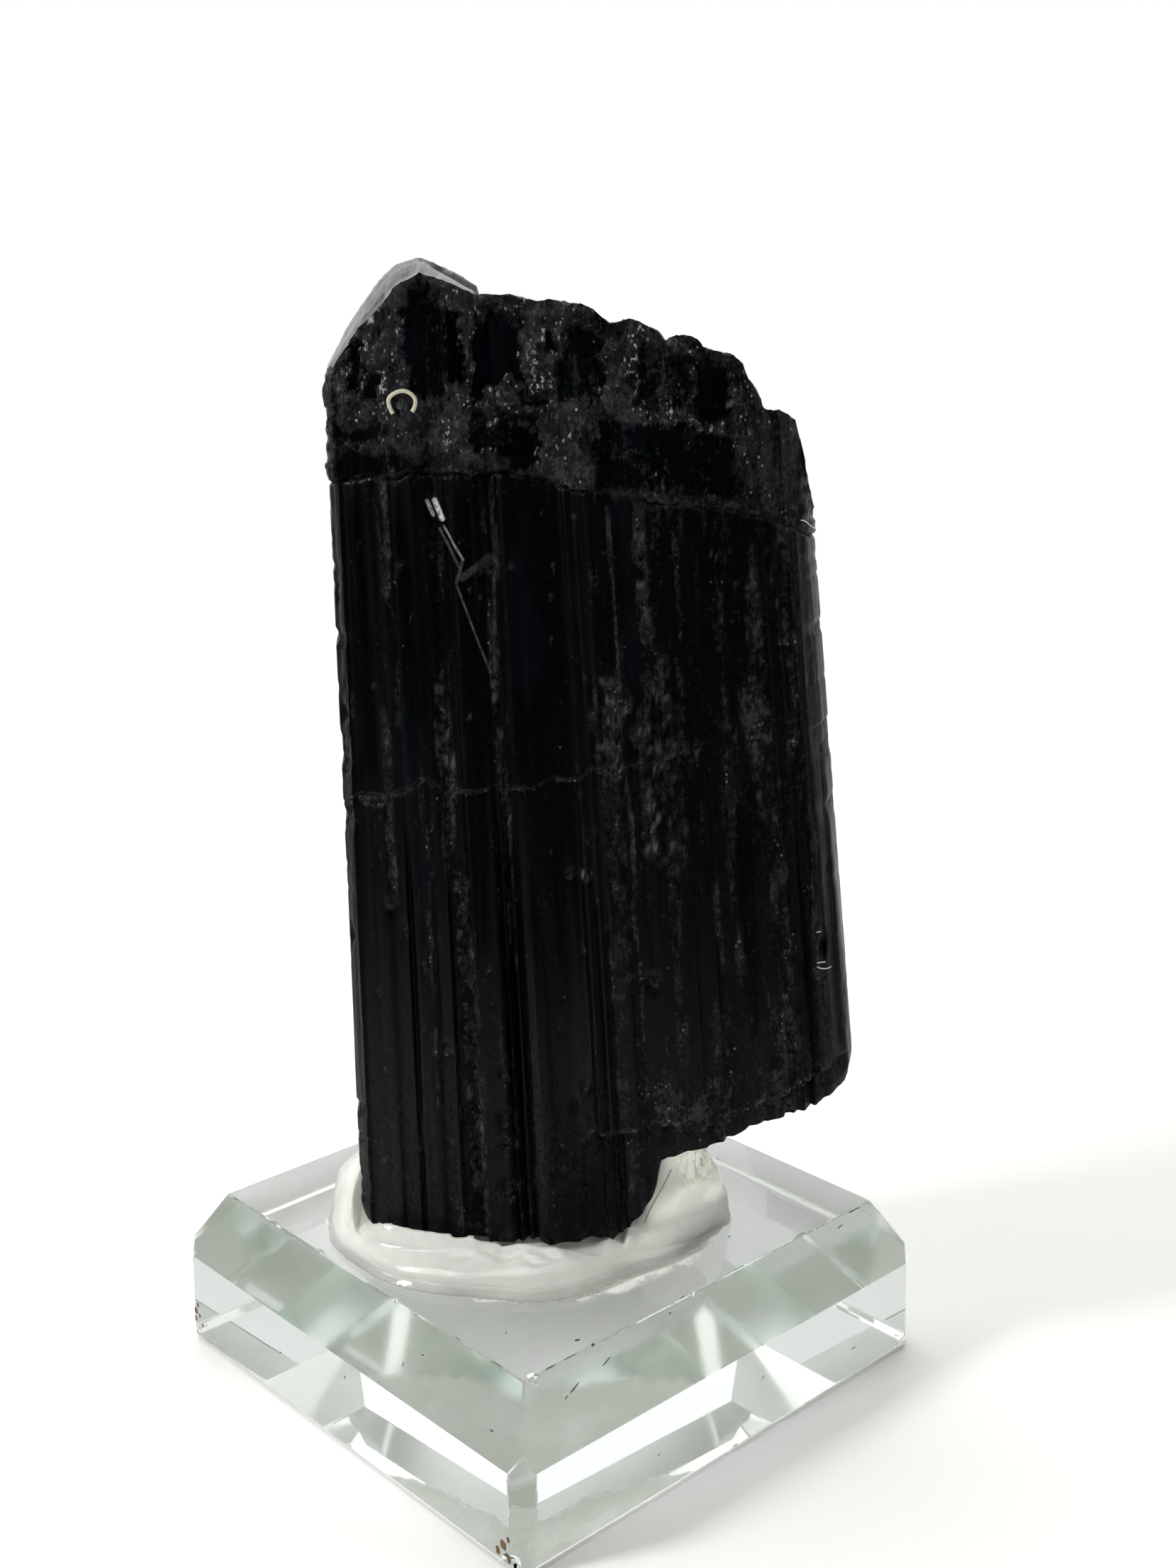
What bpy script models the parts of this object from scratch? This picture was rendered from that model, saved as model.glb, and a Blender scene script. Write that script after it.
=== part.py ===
"""A black tourmaline crystal held upright by clear adhesive on a bevelled square glass base.

Blender 4.5 script. Run it with: blender --background --python part.py
Lengths in the tables are millimetres and MM turns them into Blender's metres.
The origin is the middle of the base's underside, +Z is up, and the crystal's broad face looks along -Y.
"""

import math
import random

import bmesh
import bpy
from mathutils import Matrix, Vector

MM = 0.001

# Glass base: a square slab that stands corner on, with a deep bevel round its top.
BASE_SIDE = 50.8
BASE_HEIGHT = 15.4
BEVEL_FOOT = 9.3
BEVEL_INSET = 3.4
CORNER_CUT_LOW = 0.95
CORNER_CUT_HIGH = 1.2
FOOT_CHAMFER = 0.5
BASE_TURN = math.radians(45)

# Space kept between two neighbouring solids, and the distance at which points are welded.
GAP = 0.3
WELD = 0.02

# Crystal: rib lines run from the foot towards one distant point, so the prism narrows as it rises.
TAPER_EDGE_X = -16.7
TAPER_START_Z = 34.0
TAPER_PER_MM = 0.00211
PRISM_LOW_Z = 12.0
PRISM_HIGH_Z = 108.0
CAP_SWELL = 0.35
CRACK_LIP = 0.35

# Plan of the prism at TAPER_START_Z, from the left front edge along the front to the right.
FRONT_PLAN = [
    (-16.7, -7.6), (-15.6, -8.9), (-15.3, -8.7), (-12.6, -10.1), (-12.3, -9.8), (-10.9, -10.6),
    (-10.6, -10.1), (-10.2, -10.7), (-8.7, -11.0), (-8.4, -10.7), (-7.1, -11.2), (-6.8, -10.3),
    (-5.4, -10.4), (-5.0, -11.5), (-2.7, -11.7), (-2.3, -11.0), (-1.9, -11.5), (-1.5, -10.7),
    (-1.1, -11.6), (-0.7, -11.1), (-0.3, -11.9), (0.4, -12.3), (1.0, -11.9), (1.6, -11.3),
    (3.3, -11.0), (5.0, -11.4), (5.5, -12.3), (6.1, -11.9), (6.5, -12.4), (7.0, -12.0),
    (7.4, -12.6), (8.8, -12.7), (9.2, -12.1), (12.0, -12.3), (14.8, -12.0), (15.1, -11.6),
    (16.6, -11.7), (16.9, -10.8), (18.6, -10.6), (20.1, -10.1), (20.4, -9.7), (22.2, -9.1),
    (22.5, -8.5), (23.2, -8.6), (23.6, -7.9), (24.2, -8.1), (24.7, -7.1), (25.3, -7.5),
    (26.6, -6.3), (27.9, -4.5),
]
# The rest of the plan: the right side, the back and the left side.
REAR_PLAN = [
    (28.6, -2.0), (28.3, -0.9), (28.7, 0.6), (28.0, 3.0), (27.4, 3.2), (26.6, 5.0), (24.6, 7.0),
    (24.0, 6.6), (22.0, 8.6), (19.2, 9.9), (18.6, 9.4), (16.0, 10.9), (15.4, 10.5), (12.6, 11.5),
    (9.4, 12.0), (9.0, 11.4), (6.4, 12.1), (5.8, 11.5), (2.6, 12.3), (-0.6, 12.2), (-1.1, 11.5),
    (-3.6, 12.0), (-6.4, 11.4), (-6.8, 10.8), (-9.6, 10.3), (-10.0, 9.7), (-12.6, 8.2), (-13.2, 8.3),
    (-15.2, 5.9), (-15.2, 5.3), (-16.8, 2.6), (-17.3, -0.8), (-16.9, -1.4), (-17.1, -4.6),
]

# The long crack below the broken cap, as height against x on the front.
CAP_CRACK = [
    (-17.5, 85.2), (-12.1, 85.7), (-9.4, 86.1), (-4.7, 86.0), (-0.8, 86.3), (1.5, 85.0), (4.4, 84.2),
    (9.1, 84.1), (12.0, 83.2), (15.9, 83.3), (19.4, 82.3), (21.8, 81.2), (26.0, 79.0), (29.5, 77.5),
]

# Broken shoulder right of the pointed termination, seen from the front.
SHOULDER = [
    (-3.5, 100.2), (-1.3, 100.4), (1.6, 99.9), (4.3, 99.6), (5.6, 99.2), (6.9, 97.9), (8.4, 98.4),
    (9.9, 97.9), (10.9, 97.2), (11.4, 96.2), (12.3, 97.0), (14.0, 96.6), (14.6, 95.9), (16.8, 95.5),
    (17.7, 94.4), (18.0, 93.3), (18.9, 92.8), (19.4, 91.2), (20.9, 90.8), (22.2, 90.0), (22.8, 88.6),
    (22.8, 87.2), (23.3, 86.2), (23.5, 85.0), (24.1, 83.9), (24.4, 80.0), (26.5, 74.0), (31.0, 70.0),
]
# Pointed termination: its tip, the fall of its faces per millimetre, and where it starts.
TIP = (-8.7, -4.5, 103.4)
TIP_LEFT_SLOPE = 0.46
TIP_LEFT_STEEP = 1.35
TIP_LEFT_BREAK = 3.4
TIP_RIGHT_SLOPE = 0.60
TIP_FRONT_SLOPE = 0.27
TIP_BACK_SLOPE = 0.55
TERMINATION_X = [-19.0, -17.6, -16.4, -15.0, -13.6, -12.1, -10.4, -8.7, -6.9, -5.2, -4.2]

# Foot of the crystal, from the left to the overhang on the right, seen from the front.
FOOT = [
    (-19.0, 19.6), (-17.0, 18.2), (-16.2, 17.2), (-14.6, 16.8), (-12.4, 16.9), (-10.2, 16.5),
    (-8.0, 16.5), (-6.2, 16.9), (-4.6, 16.7), (-2.6, 17.0), (0.4, 17.2), (1.8, 16.8), (5.2, 16.7),
    (6.6, 17.4), (8.3, 18.9), (9.7, 20.2), (10.5, 21.6), (10.9, 23.2), (11.0, 25.0), (11.9, 25.4),
    (13.4, 25.9), (15.8, 26.4), (18.3, 26.9), (19.3, 27.8), (22.8, 27.9), (25.0, 28.1), (26.6, 28.6),
    (27.9, 29.5), (28.7, 31.2), (29.4, 34.5),
]
FOOT_BACK_RISE = 0.05

# Depths of the sections through the top and the foot.
SECTION_Y = [-16.0, -12.2, -9.6, -6.8, -4.5, -1.5, 2.0, 5.2, 8.4, 11.4, 16.0]
SHOULDER_BACK_SLOPE = 0.16
LUMP = 0.55
LUMP_SEED = 11

# Skin that has broken away low on the right: the ledge it leaves and how deep it goes.
LEDGE = [
    (3.9, 27.0), (4.6, 27.6), (7.6, 28.0), (10.6, 28.4), (13.2, 28.7), (15.2, 28.5), (17.4, 28.9),
    (17.9, 29.9), (20.5, 31.2), (23.4, 31.9), (24.7, 33.0), (27.3, 34.4), (30.5, 35.6),
]
LEDGE_DEPTH = 1.1

# Blocks that broke off the cap, seen from the front: corners, depth at the foot and depth at the top.
CHIPS = [
    ([(-15.7, 90.0), (-14.3, 89.4), (-14.1, 92.6), (-14.6, 93.7), (-15.5, 93.1)], 0.5, 0.8),
    ([(-13.5, 88.2), (-11.9, 87.8), (-11.7, 91.4), (-12.4, 92.9), (-13.4, 91.6)], 0.7, 0.4),
    ([(-10.4, 93.0), (-7.6, 92.5), (-7.3, 97.2), (-8.0, 100.2), (-9.8, 99.4)], 0.4, 0.7),
    ([(-6.5, 92.9), (-5.3, 92.4), (-5.0, 97.4), (-5.6, 98.6), (-6.3, 97.9)], 0.9, 0.9),
    ([(-4.5, 90.9), (-0.6, 92.3), (-0.4, 96.2), (-1.9, 98.4), (-3.1, 98.2), (-4.3, 96.6)], 0.5, 1.0),
    ([(2.5, 91.3), (4.1, 90.2), (5.7, 91.1), (6.2, 95.2), (5.2, 97.1), (2.7, 97.2)], 0.7, 0.4),
    ([(8.2, 91.4), (11.2, 90.5), (12.6, 91.6), (12.9, 94.6), (11.5, 95.7), (8.6, 95.4)], 0.8, 0.3),
    ([(13.1, 90.7), (15.1, 89.3), (15.9, 91.0), (15.4, 93.3), (13.5, 94.2)], 0.5, 0.9),
    ([(-4.1, 87.2), (0.7, 86.9), (0.9, 88.9), (-0.9, 89.7), (-3.9, 89.4)], 0.7, 0.3),
    ([(17.3, 86.6), (18.9, 86.1), (19.6, 88.6), (18.8, 90.2), (17.5, 89.4)], 0.4, 0.7),
    ([(3.8, 85.5), (7.2, 85.3), (7.7, 88.4), (6.1, 89.6), (4.2, 88.9)], 0.4, 0.8),
]

# Pits along the chipped groove low on the front: x, z, half width and half height.
PITS = [
    (-5.8, 23.9, 1.1, 0.8), (-5.7, 28.4, 1.0, 1.1), (-3.5, 21.9, 0.7, 0.8), (-6.2, 33.6, 0.9, 1.2),
    (-6.3, 38.4, 0.9, 0.9),
]
PIT_DEPTH = 0.7

# Adhesive: outlines of the pad as it rises, and of the tongue that reaches under the overhang.
RING_STEPS = 3
PAD_LEVELS = [
    (15.7, [
        (-20.4, 7.6), (-20.9, -0.4), (-20.0, -8.6), (-17.4, -13.0), (-13.6, -16.6), (-9.8, -18.4),
        (-4.4, -19.2), (0.6, -19.8), (4.6, -18.4), (8.2, -15.4), (12.4, -12.4), (15.6, -8.6),
        (17.5, -4.0), (16.8, 2.6), (14.6, 10.0), (8.0, 14.4), (-2.0, 15.4), (-13.0, 13.2),
    ]),
    (16.5, [
        (-19.9, 7.3), (-20.4, -0.4), (-19.4, -8.3), (-16.9, -12.5), (-13.2, -16.0), (-9.5, -17.7),
        (-4.2, -18.5), (0.6, -19.1), (4.5, -17.8), (8.0, -14.8), (12.0, -11.9), (15.2, -8.2),
        (17.1, -3.8), (16.3, 2.5), (14.1, 9.6), (7.7, 13.9), (-2.0, 14.9), (-12.6, 12.7),
    ]),
    (17.4, [
        (-18.9, 6.6), (-19.3, -0.6), (-18.5, -7.8), (-16.0, -11.3), (-12.6, -13.6), (-8.8, -14.8),
        (-4.0, -15.2), (0.4, -15.4), (4.0, -14.9), (7.2, -13.2), (11.0, -10.8), (14.3, -7.6),
        (16.3, -3.5), (15.4, 2.2), (13.0, 8.8), (7.2, 13.2), (-2.0, 14.0), (-11.8, 11.8),
    ]),
    (18.3, [
        (-18.0, 6.0), (-18.4, -0.6), (-17.9, -7.3), (-15.4, -10.4), (-12.0, -11.9), (-8.4, -12.4),
        (-3.8, -12.8), (0.4, -12.8), (3.9, -12.6), (6.9, -11.8), (10.2, -10.0), (13.3, -7.2),
        (15.4, -3.3), (14.2, 2.0), (11.6, 7.6), (6.6, 12.6), (-2.0, 13.4), (-11.0, 11.0),
    ]),
]
TONGUE_LEVELS = [
    (15.9, [(8.0, -11.6), (12.4, -10.8), (16.4, -7.4), (17.3, -3.4), (15.6, 1.8), (11.0, 4.0), (7.0, -2.0)]),
    (17.6, [(8.4, -11.0), (12.6, -10.4), (17.0, -6.4), (17.7, -3.4), (15.6, 1.2), (11.0, 3.4), (7.4, -2.0)]),
    (19.6, [(9.4, -9.8), (12.7, -9.2), (15.7, -6.6), (16.4, -4.2), (14.6, 0.2), (11.0, 2.2), (8.4, -2.0)]),
    (22.0, [(10.0, -8.4), (12.6, -8.4), (14.6, -6.6), (14.9, -4.8), (13.6, -1.4), (11.2, 0.4), (9.2, -2.4)]),
    (25.4, [(10.6, -7.2), (12.6, -7.6), (13.9, -6.6), (14.1, -5.4), (13.0, -3.2), (11.6, -2.4), (10.2, -4.0)]),
]
# Smooth outline round the crystal's foot, at TAPER_START_Z, that the adhesive keeps clear of.
SOCKET_PLAN = [
    (-17.4, -8.2), (-15.9, -9.6), (-12.4, -10.9), (-8.6, -11.8), (-4.6, -12.4), (0.4, -12.8),
    (5.2, -13.0), (8.9, -13.3), (14.9, -12.6), (20.4, -10.6), (24.6, -8.6), (28.6, -4.8), (29.2, 0.6),
    (26.9, 5.6), (22.2, 9.2), (12.8, 12.0), (2.6, 12.9), (-6.6, 12.0), (-13.4, 8.9), (-17.2, 3.0),
    (-18.0, -0.9), (-17.8, -4.8),
]


def clear_scene():
    for item in list(bpy.data.objects):
        bpy.data.objects.remove(item)


def collection(name, shown=True):
    made = bpy.data.collections.new(name)
    bpy.context.scene.collection.children.link(made)
    made.hide_render = not shown
    return made


def material(name, colour, roughness, transmission=0.0, ior=1.45):
    made = bpy.data.materials.new(name)
    made.use_nodes = True
    made.diffuse_color = (*colour, 1.0)
    shader = made.node_tree.nodes["Principled BSDF"]
    shader.inputs["Base Color"].default_value = (*colour, 1.0)
    shader.inputs["Roughness"].default_value = roughness
    shader.inputs["Metallic"].default_value = 0.0
    shader.inputs["Transmission Weight"].default_value = transmission
    shader.inputs["IOR"].default_value = ior
    return made


def place(name, mesh_data, into):
    """A new object from a bmesh whose points are in millimetres."""
    bmesh.ops.recalc_face_normals(mesh_data, faces=mesh_data.faces)
    bmesh.ops.scale(mesh_data, vec=(MM, MM, MM), verts=mesh_data.verts)
    mesh = bpy.data.meshes.new(name)
    mesh_data.to_mesh(mesh)
    mesh_data.free()
    made = bpy.data.objects.new(name, mesh)
    into.objects.link(made)
    return made


def loft(name, rings, into):
    """A closed solid through rings of points, each with the same number of points."""
    made = bmesh.new()
    rows = [[made.verts.new(point) for point in ring] for ring in rings]
    count = len(rings[0])
    for lower, upper in zip(rows, rows[1:]):
        for i in range(count):
            j = (i + 1) % count
            made.faces.new((lower[i], lower[j], upper[j], upper[i]))
    made.faces.new(rows[0][::-1])
    made.faces.new(rows[-1])
    bmesh.ops.triangulate(made, faces=made.faces, quad_method="BEAUTY", ngon_method="EAR_CLIP")
    return place(name, made, into)


def cutter(obj):
    obj.hide_render = True
    obj.display_type = "WIRE"
    return obj


def boolean(target, other, operation):
    """Applies one exact Boolean to the target's mesh."""
    modifier = target.modifiers.new(operation.lower(), "BOOLEAN")
    modifier.operation = operation
    modifier.solver = "EXACT"
    modifier.object = other
    bpy.context.view_layer.update()
    graph = bpy.context.evaluated_depsgraph_get()
    result = bpy.data.meshes.new_from_object(target.evaluated_get(graph))
    target.modifiers.remove(modifier)
    target.data = result


def weld(target):
    """Joins points that Booleans left closer than WELD and drops the slivers between them."""
    made = bmesh.new()
    made.from_mesh(target.data)
    bmesh.ops.remove_doubles(made, verts=made.verts, dist=WELD * MM)
    bmesh.ops.dissolve_degenerate(made, edges=made.edges, dist=WELD * MM / 2)
    bmesh.ops.triangulate(made, faces=made.faces)
    bmesh.ops.remove_doubles(made, verts=made.verts, dist=WELD * MM)
    bmesh.ops.recalc_face_normals(made, faces=made.faces)
    made.to_mesh(target.data)
    made.free()


def height_on(line, x):
    """Height of a polyline of (x, z) points at x, held level past its ends."""
    if x <= line[0][0]:
        return line[0][1]
    for (x0, z0), (x1, z1) in zip(line, line[1:]):
        if x <= x1:
            return z0 + (z1 - z0) * (x - x0) / (x1 - x0)
    return line[-1][1]


def taper(z):
    return 1.0 - TAPER_PER_MM * (z - TAPER_START_Z)


def tapered(point, z, swell=0.0):
    """A plan point carried to height z along its rib line, pushed outwards by swell."""
    x, y = point
    k = taper(z)
    middle = Vector((5.5, 0.0))
    outward = (Vector((x, y)) - middle).normalized() * swell
    return (TAPER_EDGE_X + (x - TAPER_EDGE_X) * k + outward.x, y * k + outward.y, z)


def rounded_ring(points, z):
    """A closed smooth curve through hand-placed points at one height."""
    ring = []
    count = len(points)
    for i in range(count):
        before, start, end, after = (Vector(points[(i + k) % count]) for k in (-1, 0, 1, 2))
        for step in range(RING_STEPS):
            t = step / RING_STEPS
            pull = (2 * before - 5 * start + 4 * end - after) * t * t
            bend = (3 * start - before - 3 * end + after) * t * t * t
            point = (2 * start + (end - before) * t + pull + bend) / 2
            ring.append((point.x, point.y, z))
    return ring


def front_y(x, z):
    """Depth of the crystal's front surface at x and z."""
    k = taper(z)
    return height_on(FRONT_PLAN, TAPER_EDGE_X + (x - TAPER_EDGE_X) / k) * k


def build_base(into):
    """Square slab with its top bevel drawn in by extruding and scaling, then its corners cut."""
    bpy.ops.mesh.primitive_cube_add(size=1)
    base = bpy.context.active_object
    base.name = "glass_base"
    for old in base.users_collection:
        old.objects.unlink(base)
    into.objects.link(base)
    made = bmesh.new()
    made.from_mesh(base.data)
    bmesh.ops.scale(made, vec=(BASE_SIDE, BASE_SIDE, BEVEL_FOOT - FOOT_CHAMFER), verts=made.verts)
    bmesh.ops.translate(made, vec=(0, 0, (BEVEL_FOOT + FOOT_CHAMFER) / 2), verts=made.verts)
    steps = [
        (1.0, BASE_HEIGHT - BEVEL_FOOT, BEVEL_INSET),
        (-1.0, -FOOT_CHAMFER, FOOT_CHAMFER),
    ]
    for direction, rise, inset in steps:
        end = max(made.faces, key=lambda f: f.normal.z * direction)
        edges = bmesh.ops.extrude_face_region(made, geom=[end])["geom"]
        bmesh.ops.delete(made, geom=[end], context="FACES_ONLY")
        verts = [item for item in edges if isinstance(item, bmesh.types.BMVert)]
        share = 1.0 - 2.0 * inset / BASE_SIDE
        bmesh.ops.translate(made, vec=(0, 0, rise), verts=verts)
        bmesh.ops.scale(made, vec=(share, share, 1.0), verts=verts)
        made.normal_update()
        bmesh.ops.recalc_face_normals(made, faces=made.faces)
    reach = BASE_SIDE / math.sqrt(2) - CORNER_CUT_LOW
    lean = (CORNER_CUT_HIGH - CORNER_CUT_LOW) / BEVEL_FOOT
    for quarter in range(4):
        angle = math.radians(45 + 90 * quarter)
        outward = Vector((math.cos(angle), math.sin(angle), 0.0))
        cut = bmesh.ops.bisect_plane(
            made, geom=made.verts[:] + made.edges[:] + made.faces[:],
            plane_co=outward * reach, plane_no=(outward.x, outward.y, lean), clear_outer=True,
        )
        rim = [item for item in cut["geom_cut"] if isinstance(item, bmesh.types.BMEdge)]
        bmesh.ops.edgeloop_fill(made, edges=rim)
    bmesh.ops.rotate(made, cent=(0, 0, 0), matrix=Matrix.Rotation(BASE_TURN, 3, "Z"), verts=made.verts)
    bmesh.ops.recalc_face_normals(made, faces=made.faces)
    bmesh.ops.scale(made, vec=(MM, MM, MM), verts=made.verts)
    made.to_mesh(base.data)
    made.free()
    return base


def build_prism(helpers):
    """The ribbed prism, with the lip of the cap crack as a small step all round."""
    plan = FRONT_PLAN + REAR_PLAN
    crack = [(x, height_on(CAP_CRACK, x)) for x, _ in plan]
    rings = [
        [tapered(p, PRISM_LOW_Z) for p in plan],
        [tapered(p, z) for p, (_, z) in zip(plan, crack)],
        [tapered(p, z + CRACK_LIP, CAP_SWELL) for p, (_, z) in zip(plan, crack)],
        [tapered(p, PRISM_HIGH_Z, CAP_SWELL) for p in plan],
    ]
    return loft("tourmaline_crystal", rings, helpers)


def tip_height(x, y):
    """Height of the pointed termination, from four sloping faces."""
    tip_x, tip_y, tip_z = TIP
    left = max(0.0, tip_x - x)
    steep = max(0.0, left - TIP_LEFT_BREAK)
    fall = TIP_LEFT_SLOPE * left + (TIP_LEFT_STEEP - TIP_LEFT_SLOPE) * steep
    fall += TIP_RIGHT_SLOPE * max(0.0, x - tip_x)
    fall += TIP_FRONT_SLOPE * max(0.0, tip_y - y) + TIP_BACK_SLOPE * max(0.0, y - tip_y)
    return tip_z - fall


def build_envelope(helpers):
    """Sections from front to back that give the crystal its top and its foot."""
    chance = random.Random(LUMP_SEED)
    rings = []
    for y in SECTION_Y:
        inside = SECTION_Y[0] < y < SECTION_Y[-1]
        behind = max(0.0, y + 9.6)
        top = [(x, y, tip_height(x, y)) for x in TERMINATION_X]
        for x, z in SHOULDER:
            lump = chance.uniform(-LUMP, LUMP) if inside else 0.0
            top.append((x, y, z - SHOULDER_BACK_SLOPE * behind + lump))
        foot = []
        for x, z in FOOT:
            lump = chance.uniform(0.0, LUMP) if inside else 0.0
            foot.append((x, y, z + FOOT_BACK_RISE * behind + lump * 0.7))
        rings.append(top + foot[::-1])
    return cutter(loft("envelope", rings, helpers))


def build_ledge_cutter(helpers):
    """A block under the ledge line, as deep as the skin that has gone."""
    rings = []
    for x, z in LEDGE:
        back = front_y(x, z) + LEDGE_DEPTH
        rings.append([(x, -18.0, 10.0), (x, back, 10.0), (x, back, z), (x, -18.0, z)])
    return cutter(loft("ledge_cutter", rings, helpers))


def build_chip_cutter(helpers, number, chip):
    """A block with slanting sides whose far end is the broken face that a chip leaves."""
    corners, foot_depth, top_depth = chip
    middle_x = sum(x for x, _ in corners) / len(corners)
    middle_z = sum(z for _, z in corners) / len(corners)
    low = min(z for _, z in corners)
    high = max(z for _, z in corners)
    skin = front_y(middle_x, middle_z) - CAP_SWELL
    rings = []
    for front, share in ((-17.0, 1.5), (skin - 0.3, 1.12), (None, 1.0)):
        ring = []
        for x, z in corners:
            depth = foot_depth + (top_depth - foot_depth) * (z - low) / (high - low)
            y = skin + depth if front is None else front
            ring.append((middle_x + (x - middle_x) * share, y, middle_z + (z - middle_z) * share))
        rings.append(ring)
    return cutter(loft(f"chip_cutter_{number}", rings, helpers))


def build_pit_cutter(helpers, number, pit):
    """A faceted lens that bites one pit out of the front."""
    x, z, half_width, half_height = pit
    made = bmesh.new()
    bmesh.ops.create_icosphere(made, subdivisions=1, radius=1.0)
    bmesh.ops.scale(made, vec=(half_width, PIT_DEPTH * 1.6, half_height), verts=made.verts)
    bmesh.ops.translate(made, vec=(x, front_y(x, z) - PIT_DEPTH * 0.4, z), verts=made.verts)
    return cutter(place(f"pit_cutter_{number}", made, helpers))


def build_crystal(into, helpers):
    crystal = build_prism(helpers)
    boolean(crystal, build_envelope(helpers), "INTERSECT")
    boolean(crystal, build_ledge_cutter(helpers), "DIFFERENCE")
    for number, chip in enumerate(CHIPS):
        boolean(crystal, build_chip_cutter(helpers, number, chip), "DIFFERENCE")
    for number, pit in enumerate(PITS):
        boolean(crystal, build_pit_cutter(helpers, number, pit), "DIFFERENCE")
    weld(crystal)
    helpers.objects.unlink(crystal)
    into.objects.link(crystal)
    return crystal


def build_adhesive(into, helpers):
    """The pad and its tongue, joined, with a socket for the crystal's foot."""
    pad = loft("adhesive", [rounded_ring(ring, z) for z, ring in PAD_LEVELS], into)
    tongue = loft("tongue", [rounded_ring(ring, z) for z, ring in TONGUE_LEVELS], helpers)
    boolean(pad, cutter(tongue), "UNION")
    socket = []
    for y in (-15.0, 15.0):
        section = [(x, y, z - GAP - 0.1) for x, z in FOOT]
        socket.append(section + [(FOOT[-1][0], y, 60.0), (FOOT[0][0], y, 60.0)])
    foot = cutter(loft("socket_sections", socket, helpers))
    rings = [[tapered(p, z) for p in SOCKET_PLAN] for z in (PRISM_LOW_Z, 60.0)]
    shaft = cutter(loft("socket_shaft", rings, helpers))
    boolean(shaft, foot, "INTERSECT")
    boolean(pad, shaft, "DIFFERENCE")
    weld(pad)
    return pad


def main():
    clear_scene()
    shown = collection("tourmaline_on_base")
    helpers = collection("cutters", shown=False)
    glass = material("clear_glass", (0.80, 0.87, 0.83), 0.04, transmission=1.0, ior=1.51)
    glue = material("clear_adhesive", (0.88, 0.88, 0.84), 0.25, transmission=0.8, ior=1.48)
    stone = material("black_tourmaline", (0.012, 0.013, 0.014), 0.32)
    for obj, finish in (
        (build_base(shown), glass),
        (build_adhesive(shown, helpers), glue),
        (build_crystal(shown, helpers), stone),
    ):
        obj.data.materials.clear()
        obj.data.materials.append(finish)


main()
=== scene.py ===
"""Dresses a black tourmaline crystal that clear adhesive holds on a bevelled glass base.

Lengths in the tables are millimetres and MM turns them into metres. The crystal's broad face looks along -Y.
"""

import math
import random

import bmesh
import bpy
import numpy as np
from mathutils import Matrix, Vector


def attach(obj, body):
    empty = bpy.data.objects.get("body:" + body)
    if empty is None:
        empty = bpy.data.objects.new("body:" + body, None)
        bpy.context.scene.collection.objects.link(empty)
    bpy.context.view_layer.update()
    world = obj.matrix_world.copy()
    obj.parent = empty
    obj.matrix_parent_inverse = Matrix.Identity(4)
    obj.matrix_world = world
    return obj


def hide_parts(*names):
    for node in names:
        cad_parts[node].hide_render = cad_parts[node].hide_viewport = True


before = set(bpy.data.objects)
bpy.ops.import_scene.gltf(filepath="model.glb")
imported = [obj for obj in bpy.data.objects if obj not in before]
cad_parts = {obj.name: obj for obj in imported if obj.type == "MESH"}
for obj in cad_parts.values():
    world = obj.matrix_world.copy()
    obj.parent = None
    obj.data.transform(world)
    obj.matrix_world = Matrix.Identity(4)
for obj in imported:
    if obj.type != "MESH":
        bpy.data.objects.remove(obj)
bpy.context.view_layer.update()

bl_info = {
    "name": "Tourmaline crystal on a glass base",
    "version": (1, 0, 0),
    "blender": (4, 5, 0),
    "location": "View3D > Sidebar > Tourmaline",
    "description": "Builds the crystal, its adhesive, its glass base and the studio",
    "category": "Object",
}

MM = 0.001
BODY = "root"

# Crystal: rib lines lean towards the left edge as they rise.
LEAN_EDGE_X = -16.7
LEAN_START_Z = 34.0
LEAN_PER_MM = 0.00211

# Plan at LEAN_START_Z: the front from left to right, with its ribs and grooves.
FRONT_LINE = [
    (-17.2, -2.6), (-17.1, -4.6), (-16.7, -7.6), (-15.6, -8.9), (-15.3, -8.7), (-12.6, -10.1),
    (-12.3, -9.8), (-10.9, -10.6), (-10.6, -10.1), (-10.2, -10.7), (-8.7, -11.0), (-8.4, -10.7),
    (-7.1, -11.2), (-6.8, -10.3), (-5.4, -10.4), (-5.0, -11.5), (-2.7, -11.7), (-2.3, -11.0), (-1.9, -11.5),
    (-1.5, -10.7), (-1.1, -11.6), (-0.7, -11.1), (-0.3, -11.9), (0.4, -12.3), (1.0, -11.9), (1.6, -11.3),
    (3.3, -11.0), (5.0, -11.4), (5.5, -12.3), (6.1, -11.9), (6.5, -12.4), (7.0, -12.0), (7.4, -12.6),
    (8.8, -12.7), (9.2, -12.1), (12.0, -12.3), (14.8, -12.0), (15.1, -11.6), (16.6, -11.7), (16.9, -10.8),
    (18.6, -10.6), (20.1, -10.1), (20.4, -9.7), (22.2, -9.1), (22.5, -8.5), (23.2, -8.6), (23.6, -7.9),
    (24.2, -8.1), (24.7, -7.1), (25.3, -7.5), (26.6, -6.3), (27.9, -4.5), (28.6, -2.0), (28.5, -0.6),
]
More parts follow.
